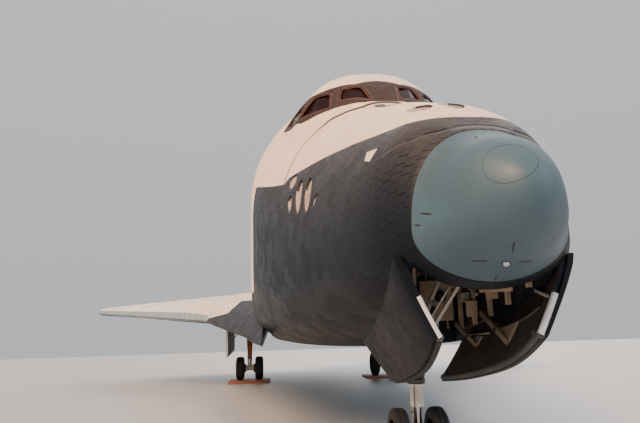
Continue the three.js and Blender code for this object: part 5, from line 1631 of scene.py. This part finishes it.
def bayParts(b):
    shape = Shape()
    turn = np.radians(np.linspace(180, 360, 37))
    radius = b["radius"] - 0.2
    for x in np.linspace(b["from"] + 12, b["to"] - 12, b["frames"]):
        path = np.stack([x + 0 * turn, radius * np.cos(turn), b["centre"] + radius * np.sin(turn)], -1)
        inward = -np.stack([0 * turn, np.cos(turn), np.sin(turn)], -1)
        sweep(
            shape, path, [(-1.6, 0), (-1.6, 0.9), (-0.5, 1.8), (0.5, 1.8), (1.6, 0.9), (1.6, 0)], "equipmentEnamel",
            inward,
        )
    for way in (1, -1):
        for z, size in ((416, 2.2), (404, 1.2)):
            bar(
                shape, (b["from"] + 1, way * (b["radius"] - 1.3), z), (b["to"] - 1, way * (b["radius"] - 1.3), z),
                size, size, "equipmentEnamel",
            )
        for x in np.linspace(b["from"] + 20, b["to"] - 20, 16):
            slab(shape, (x, way * (b["radius"] - 1.6), 410), (5, 2, 4), "machinedMetal", bevel=0.3)
        tube(
            shape, [(b["from"] + 2, way * 30, 316.2), (b["to"] - 2, way * 30, 316.2)], 0.9, "equipmentEnamel",
            steps=1, sides=8,
        )
    bar(shape, (b["from"] + 1, 0, 310.9), (b["to"] - 1, 0, 310.9), 5, 1.4, "equipmentEnamel")
    finishShape(shape, "bay_frames", slot="white_felt")


def sidePanels(side, way):  # vent doors, access panels and the ground connection plate
    shape = Shape()
    for x, up in vents:
        hullQuad(shape, [(x - 9, up), (x + 9, up), (x + 9, up + 3.6), (x - 9, up + 3.6)], 0.22, "whiteSilicaTile", way)
        hullQuad(
            shape, [(x - 7.4, up + 0.8), (x + 7.4, up + 0.8), (x + 7.4, up + 2.8), (x - 7.4, up + 2.8)], 0.3,
            "sootedLiner", way,
        )
    hullQuad(shape, [(1395, -31), (1432, -31), (1432, -14), (1395, -14)], 0.35, "greySeal", way)
    hullQuad(shape, [(1398, -29.6), (1429, -29.6), (1429, -15.4), (1398, -15.4)], 0.6, "baseEnamel", way)
    for x in (1403, 1413.5, 1424):
        for up in (-27, -22, -18):
            place, normal = hullPoint(x, up, 0.6), hullNormal(np.array(x), np.array(up))
            socket = [(2.4, -0.2), (2.4, 0.5), (1.7, 0.6), (1.5, 0.2), (0.001, 0.2)]
            lathe(shape, socket, onSide(place, way), onSide(normal, way), socketPaints, 20)
    hullQuad(shape, [(313.8, 50.4), (302.8, 51.2), (304.7, 45.1), (311.2, 45.9)], 0.12, "whiteSilicaTile", way, 4)
    hullQuad(shape, [(309.5, 45.2), (306.5, 45.1), (306.8, 44.2), (308.8, 44.2)], 0.12, "sootedLiner", way, 3)
    if way > 0:
        hullQuad(shape, [(428.5, 84.2), (376, 80.2), (365, 86.2), (428.2, 88.2)], 0.15, "frameEnamel", way, 8)
    finishShape(shape, f"side_panels_{side}", (0, 2), slot="white_tile")


def bayDoor(side, way):
    node = f"payload_bay_door_{side}"
    finishes = ("coatedFelt", "silveredFilm")
    hullPiece(node, node + "_skin", (9, 2.2), finishes, None, body=node, slot="white_tile")
    shape = Shape()
    for station in np.linspace(bay["from"] + 8, bay["to"] - 8, 6)[1:-1]:  # joints between the door's five panels
        degrees = np.linspace(14, 89.5, 40)
        hullBand(
            shape, np.stack([station + 0 * degrees, degrees], -1),
            [(-1.3, -0.3), (-1.1, 0.12), (1.1, 0.12), (1.3, -0.3)], "whiteSilicaTile", way,
        )
    edge = np.linspace(bay["from"] + 1, bay["to"] - 1, 120)
    hullBand(
        shape, np.stack([edge, 0 * edge + 89.2], -1), [(-0.7, -0.3), (-0.6, 0.16), (0.6, 0.16), (0.7, -0.3)],
        "greySeal", way,
    )
    for station in np.linspace(bay["from"] + 30, bay["to"] - 30, 12):  # hinge fairings at the sill
        hullQuad(
            shape, [(station - 4, 13.2), (station + 4, 13.2), (station + 4, 17.4), (station - 4, 17.4)], 0.35,
            "whiteSilicaTile", way, 3,
        )
    finishShape(shape, node + "_joints", (0, 2), body=node, slot="white_tile")


hullPiece("mid_fuselage", "mid_skin", (9, 2.2), ("silicaTile", "glassCloth"), slot="white_felt")
bayParts(bay)
for side, way in sides:
    sidePanels(side, way)
    bayDoor(side, way)

# Side hatch on the port side: tile skin, seal ring and window
hatch = {"x": 508, "z": 365, "window": 5.2, "ring": 18.6}


def sideHatch(h):
    finishes = ("silicaTile", "machinedMetal")
    hullPiece("side_hatch", "side_hatch_skin", (2.5, 2.5), finishes, body="side_hatch", slot="black_tile")
    shape = Shape()
    rise = h["z"] - float(widestHeight(h["x"]))
    at = lambda dx, dz: (h["x"] + dx, math.degrees(math.asin((rise + dz) / float(hullRadius(h["x"] + dx, 0.0)))))
    turn = np.arange(48) * 2 * math.pi / 48
    path = [at(h["window"] * math.cos(t), h["window"] * math.sin(t)) for t in turn]
    hullBand(shape, path, [(-0.9, -0.3), (-0.8, 0.35), (0.8, 0.35), (0.9, -0.3)], "frameEnamel", -1, closed=True)
    place, normal = hullPoint(*at(0, 0), 0.05), hullNormal(*(np.array(v) for v in at(0, 0)))
    lathe(shape, [(h["window"] - 0.4, -0.2), (h["window"] - 0.4, 0.1), (h["window"] - 1.4, 0.14), (0.001, 0.16)],
          onSide(place, -1), onSide(normal, -1), "fusedSilica", 40)
    path = [at(h["ring"] * math.cos(t), h["ring"] * math.sin(t)) for t in turn]
    hullBand(shape, path, [(-0.3, -0.3), (-0.25, 0.1), (0.25, 0.1), (0.3, -0.3)], "greySeal", -1, closed=True)
    finishShape(shape, "side_hatch_fittings", body="side_hatch", slot="black_tile")


sideHatch(hatch)
print("middle fuselage, bay doors and hatch done")

# Aft fuselage: white sides, charcoal base, quilted blankets round the engine mounts
engines = [
    {"node": "main_engine_nozzle_top", "gimbal": (1445, 0, 443), "pitch": 16, "yaw": 0},
    {"node": "main_engine_nozzle_right", "gimbal": (1468, 53, 342.6), "pitch": 10, "yaw": 3.5},
    {"node": "main_engine_nozzle_left", "gimbal": (1468, -53, 342.6), "pitch": 10, "yaw": -3.5},
]
mainBell = {
    "start": 54.015, "entry": 19, "exit": 47, "length": 118, "wall": 1.5, "bands": 9, "bandRise": 0.8, "pipe": 1.1
}
orbitalBell = {
    "start": 0.0, "entry": 9, "exit": 21.5, "length": 48, "wall": 1, "bands": 3, "bandRise": 0.4, "pipe": 0.5
}


def engineWay(e):
    p, w = math.radians(e["pitch"]), math.radians(e["yaw"])
    return np.array((math.cos(p) * math.cos(w), math.cos(p) * math.sin(w), math.sin(p)))


def aftPaint(p):
    for e in engines:
        rel = np.asarray(p) - e["gimbal"]
        along = rel @ engineWay(e)
        if 12 < along < 56 and np.linalg.norm(rel - along * engineWay(e)) < 36:
            return True
    return False


def aftFuselage():
    dark = lambda x, z: np.maximum(belly["aftEdge"] - z, x - belly["base"])
    finishes = ("silicaTile", "baseEnamel", "quiltedBlanket")
    hullPiece("aft_fuselage", "aft_skin", (9, 1.2), finishes, dark, [(2, aftPaint)], slot="white_tile")
    shape = Shape()
    for e in engines:
        d = engineWay(e)
        lathe(
            shape, [(30.3, 50), (31.2, 50.6), (31.2, 53), (30.2, 53.8), (19.5, 53.9)], e["gimbal"], d,
            ["machinedMetal"] * 3 + ["quiltedBlanket"], 72,
        )
    finishShape(shape, "engine_mount_rings", slot="white_tile")


def bell(b, node, origin, direction, piece):
    shape = Shape()
    radius = lambda t: b["entry"] + (b["exit"] - b["entry"]) * (1 - (1 - t) ** 1.8)
    outside, s0, length = [], b["start"], b["length"]
    bandAt = (np.arange(b["bands"]) + 1.3) / (b["bands"] + 1.2)
    for t in np.linspace(0, 1, 60):
        rise = b["bandRise"] * max(0, 1 - min(abs(t - q) for q in bandAt) * length / 1.6) ** 0.35 if len(bandAt) else 0
        outside.append((radius(t) + rise, s0 + t * length))
    lip = [(b["exit"] + 0.9 * b["bandRise"], s0 + length), (b["exit"] - b["wall"], s0 + length)]
    inside = [(radius(t) - b["wall"], s0 + max(t * length, 2.2)) for t in np.linspace(0.985, 0.16, 30)]
    throat = [(0.55 * b["entry"], s0 + 0.055 * length), (0.36 * b["entry"], s0 + 2.6), (0.001, s0 + 2.2)]
    profile = outside + lip + inside + throat
    # the closed throat is painted dark: soot, and painted shade standing in for the chamber beyond
    paints = ["heatTintedSteel"] * (len(profile) - 3) + ["sootedLiner"] * 2
    lathe(shape, profile, origin, direction, paints, 120)
    axis = unit(direction)
    side, up = squareTo(axis)
    for turn in (0.5, 2.1, 3.6, 5.2):
        out = math.cos(turn) * side + math.sin(turn) * up
        path = []
        for t in (0.04, 0.2, 0.4, 0.6, 0.8, 0.955):
            path.append(origin + axis * (s0 + t * length) + out * (radius(t) + b["pipe"] + 0.4))
        tube(shape, path, b["pipe"], "machinedMetal")
    middle, ring = origin + axis * (s0 + 0.965 * length), []
    for q in np.arange(72) * math.pi / 36:
        ring.append(middle + (b["exit"] + 0.6) * (math.cos(q) * side + math.sin(q) * up))
    tube(shape, ring, 1.5 * b["pipe"], "machinedMetal", steps=1, closed=True)
    piece = finishShape(shape, piece, slot="nozzle_metal", replaced=[node], sharpAngle=50)
    points = meshPoints(piece.data) - origin
    turn = np.arctan2(points @ up, points @ side)
    setSkinMap(piece.data, turn * b["exit"], points @ axis - s0)


aftFuselage()
for e in engines:
    bell(mainBell, e["node"], np.array(e["gimbal"], float), engineWay(e), e["node"] + "_bell")

# Orbital engine pods: a smooth blister, a thruster housing at its end, and one bell each
podSections = [
    (1308, 70, 473, 12, 9),
    (1325, 71, 475, 26, 20),
    (1350, 73, 478, 36, 31),
    (1390, 75, 481, 45, 41),
    (1440, 80, 484, 48, 45),
    (1500, 86, 485, 42, 43),
    (1535, 90, 485, 36, 38),
]
podEnd = {
    "outline": [(1470, 455), (1556, 449), (1567, 456), (1567, 486), (1540, 497), (1470, 500)],
    "inner": 110,
    "outer": 126,
}
podThrusters = {
    "side": [(1550, 462), (1550, 475), (1538, 488)], "rear": [(458, 114.5), (458, 121.5), (474, 118)], "size": 4.2
}


def enginePod(side, way):
    shape = Shape()
    stations = np.concatenate([np.linspace(1308.2, 1312, 4), np.linspace(1316, 1535, 40)])
    rows = steadyCurve(podSections, stations)
    turn = np.arange(72) * math.pi / 36
    rings = []
    for station, (_, y, z, halfWidth, halfHeight) in zip(stations, rows):
        nose = math.sqrt(max(1 - (max(1313 - station, 0) / 5) ** 2, 0.02))
        ring = [np.full(72, station), way * (y + nose * halfWidth * np.cos(turn)), z + nose * halfHeight * np.sin(turn)]
        rings.append(np.stack(ring, -1))
    skinRings(shape, rings, lambda band, place: "blackSilicaTile" if band < 5 else "whiteSilicaTile")
    cap = [f for f in shape.mesh.faces if len(f.verts) == 72 and f.calc_center_median().x > 1530]
    shape.paint(cap, "baseEnamel")
    e = podEnd
    verts = [[shape.mesh.verts.new((a, way * y, b)) for a, b in e["outline"]] for y in (e["inner"], e["outer"])]
    (near, far), count = verts, len(e["outline"])
    made = [shape.mesh.faces.new(near), shape.mesh.faces.new(far[::-1])]
    for i in range(count):
        k = (i + 1) % count
        made.append(shape.mesh.faces.new((near[i], near[k], far[k], far[i])))
    shape.paint(made, "whiteSilicaTile")
    edges = list(dict.fromkeys(edge for f in made for edge in f.edges))
    bmesh.ops.bevel(shape.mesh, geom=edges, offset=1.2, segments=3, affect="EDGES", profile=0.5)
    cup = [(1.25, -0.2), (1.25, 0.5), (1.05, 0.7), (0.9, 0.3), (0.55, -0.6), (0.001, -0.7)]
    size = podThrusters["size"]
    # each cup's dark floor is painted shade standing in for the thruster's throat
    paints = ["whiteSilicaTile"] * 2 + ["thrusterLiner"] * 2 + ["sootedLiner"]
    scaled = [(r * size, s) for r, s in cup]
    for x, z in podThrusters["side"]:
        lathe(shape, scaled, (x, way * e["outer"], z), (0, way, 0), paints, 28)
    for z, y in podThrusters["rear"]:
        # the dark floor of each horn is painted shade
        horn = [(2.0, -0.5), (2.6, 1.2), (3.6, 4.4), (3.3, 4.5), (2.2, 1.4), (1.2, 0.2), (0.001, 0.1)]
        lathe(shape, horn, (1566.5, way * y, z), (1, 0, 0), ["heatTintedSteel"] * 5 + ["sootedLiner"], 28)
    for x in (1484, 1496, 1508):
        lathe(
            shape, [(r * 0.9, s) for r, s in scaled], (x, way * 118, float(np.interp(x, (1470, 1540), (500, 497)))),
            (0, 0, 1), paints, 24,
        )
    node = f"orbital_engine_pod_{side}"
    piece = finishShape(shape, node + "_skin", slot="white_tile", replaced=[node], sharpAngle=40)
    points = meshPoints(piece.data)
    turn = np.arctan2(points[:, 2] - 484, way * points[:, 1] - 80)
    setSkinMap(piece.data, points[:, 0], turn * 45)


podBell = {"x": 1535, "y": 86, "z": 490, "pitch": 12}
for side, way in sides:
    enginePod(side, way)
    pitch = math.radians(podBell["pitch"])
    entry = np.array((podBell["x"] + orbitalBell["entry"] * math.sin(pitch) + 0.015, way * podBell["y"], podBell["z"]))
    node = f"orbital_engine_nozzle_{side}"
    bell(orbitalBell, node, entry, np.array((math.cos(pitch), 0, math.sin(pitch))), node + "_bell")
print("aft fuselage, engines and pods done")

# Wings: white above, black below, carbon leading edge panels; the control surfaces behind them
wing = {
    "well": (1039, 1195),
    "wellSides": (109, 171),
    "wellRoof": 290,
    "wellTop": 303.5,
    "arms": 1360,
    "armStations": (135, 285, 342, 432),
    "armHalf": 1.15,
    "cove": 1366,
}
# The black tiles climb over the rounded front of the strake up to these lines: a place across and up, and
# the line's slope outward
strakeLines = ((136, 305, -1.083), (148, 292, -0.2))
strakeTop, strakeEnd = 309, 1006


def onBlackStrake(x, y, z):
    steep, shallow = (height + slope * (y - across) for across, height, slope in strakeLines)
    return x < strakeEnd and z < max(min(strakeTop, steep), shallow)


def wingPaint(p, n):
    w, x, y, z = wing, p[0], abs(p[1]), p[2]
    if onBlackStrake(x, y, z):
        return "blackSilicaTile"
    inWell = w["well"][0] < x < w["well"][1] and w["wellSides"][0] < y < w["wellSides"][1] and z < w["wellTop"]
    if inWell and (z > w["wellRoof"] or abs(n[2]) < 0.5):
        return "wellPrimer"
    if x > w["arms"] and any(abs(y - a) < w["armHalf"] for a in w["armStations"]):
        return "machinedMetal"
    if x > w["cove"] and n[0] > 0.3:
        return "baseEnamel"
    return "blackSilicaTile" if n[2] < 0.12 else "coatedFelt"


def surfacePaint(p, n):
    return "blackSilicaTile" if n[2] < -0.05 else "coatedFelt"


def alongEdge(points):
    return np.hypot(points[:, 1] * math.sqrt(2), 0 * points[:, 0]), points[:, 2]


def ribPaint(p, n):
    return "coatedCarbonEdge"


for side, way in sides:
    cuts = [((0, way * across, height), (0, -way * slope, 1)) for across, height, slope in strakeLines]
    cuts += [((0, 0, strakeTop), (0, 0, 1)), ((strakeEnd, 0, 0), (1, 0, 0))]
    dressNode(f"wing_{side}", f"wing_skin_{side}", wingPaint, (0, 1), slot="white_tile", sharpAngle=40, cuts=cuts)
    dressNode(
        f"wing_leading_edge_{side}", f"wing_edge_panels_{side}", ribPaint, None, slot="edge_carbon", sharpAngle=50,
        around=alongEdge,
    )
    for part in ("inner", "outer"):
        node = f"elevon_{part}_{side}"
        dressNode(node, node + "_skin", surfacePaint, (0, 1), node, "white_tile", 40)
dressNode("body_flap", "body_flap_skin", lambda p, n: "blackSilicaTile", (0, 1), "body_flap", "black_tile", 40)


# Fin, rudder and the tube that the rudder turns on
def finPaint(p, n):
    front = 1277 + (p[2] - 503)
    return "blackSilicaTile" if p[0] < front + 5 and n[0] < -0.2 else "baseEnamel" if n[0] > 0.8 else "coatedFelt"


def panelPaint(way):
    def paint(p, n):
        return "zincPrimer" if abs(p[1]) < 1 and way * n[1] < -0.9 else "coatedFelt"
    return paint


dressNode("fin", "fin_skin", finPaint, (0, 2), slot="white_tile", sharpAngle=40)
dressNode("rudder_spine", "rudder_tube", lambda p, n: "machinedMetal", (0, 2), "rudder", "gear_paint", 40)
for side, way in sides:
    node = f"rudder_panel_{side}"
    dressNode(node, node + "_skin", panelPaint(way), (0, 2), node, "white_tile", 40)
print("wings, fin and control surfaces done")

# Flight deck and the window panes keep their solid shapes
remaining = {"window": "fusedSilica", "flight_deck": "deckEnamel"}
for name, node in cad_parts.items():
    if node.hide_render:
        continue
    chosen = next(value for key, value in remaining.items() if key in name)
    node.data.materials.clear()
    node.data.materials.append(finish[chosen])


# Plain pale floor and soft studio light
stage = {
    "floor": "#c3c5c7", "floorShade": "#b8babd", "skyTop": "#f6f8fa", "skyLow": "#d9dde0", "skyStrength": 0.82,
    "floorSize": 400,
}
lights = [
    ("key", (-0.55, -0.6, 0.75), 4.6, 35, "#ffd1a8"),
    ("fill", (0.8, -0.45, 0.5), 0.7, 60, "#dfeaff"),
    ("back", (0.3, 0.85, 0.6), 1.0, 50, "#ffffff"),
]


def studio(s):
    bpy.ops.mesh.primitive_plane_add(size=s["floorSize"], location=(0, 0, 0))
    floor = bpy.context.object
    floor.name = "floor"
    tree, shader = newMaterial("polishedConcrete", 0.42)
    cloud = cloudiness(tree, 3000, 5, 0.6)
    tree.links.new(mixColours(tree, cloud, srgb(s["floor"]), srgb(s["floorShade"])), shader.inputs["Base Color"])
    floor.data.materials.append(finish["polishedConcrete"])
    world = bpy.data.worlds.new("studio")
    bpy.context.scene.world = world
    world.use_nodes = True
    tree = world.node_tree
    up = addNode(tree, "SeparateXYZ", None, {0: addNode(tree, "TexCoord").outputs["Generated"]}).outputs[2]
    sky = mixColours(tree, ramp(tree, up, 0, 0.9), srgb(s["skyLow"]), srgb(s["skyTop"]))
    background = tree.nodes["Background"]
    tree.links.new(sky, background.inputs["Color"])
    background.inputs["Strength"].default_value = s["skyStrength"]
    for name, direction, strength, angle, colour in lights:
        data = bpy.data.lights.new(name, "SUN")
        data.energy = strength
        data.angle = math.radians(angle)
        data.color = srgb(colour)[:3]
        lamp = bpy.data.objects.new(name, data)
        lamp.rotation_euler = Vector(direction).to_track_quat("Z", "Y").to_euler()
        bpy.context.scene.collection.objects.link(lamp)


studio(stage)
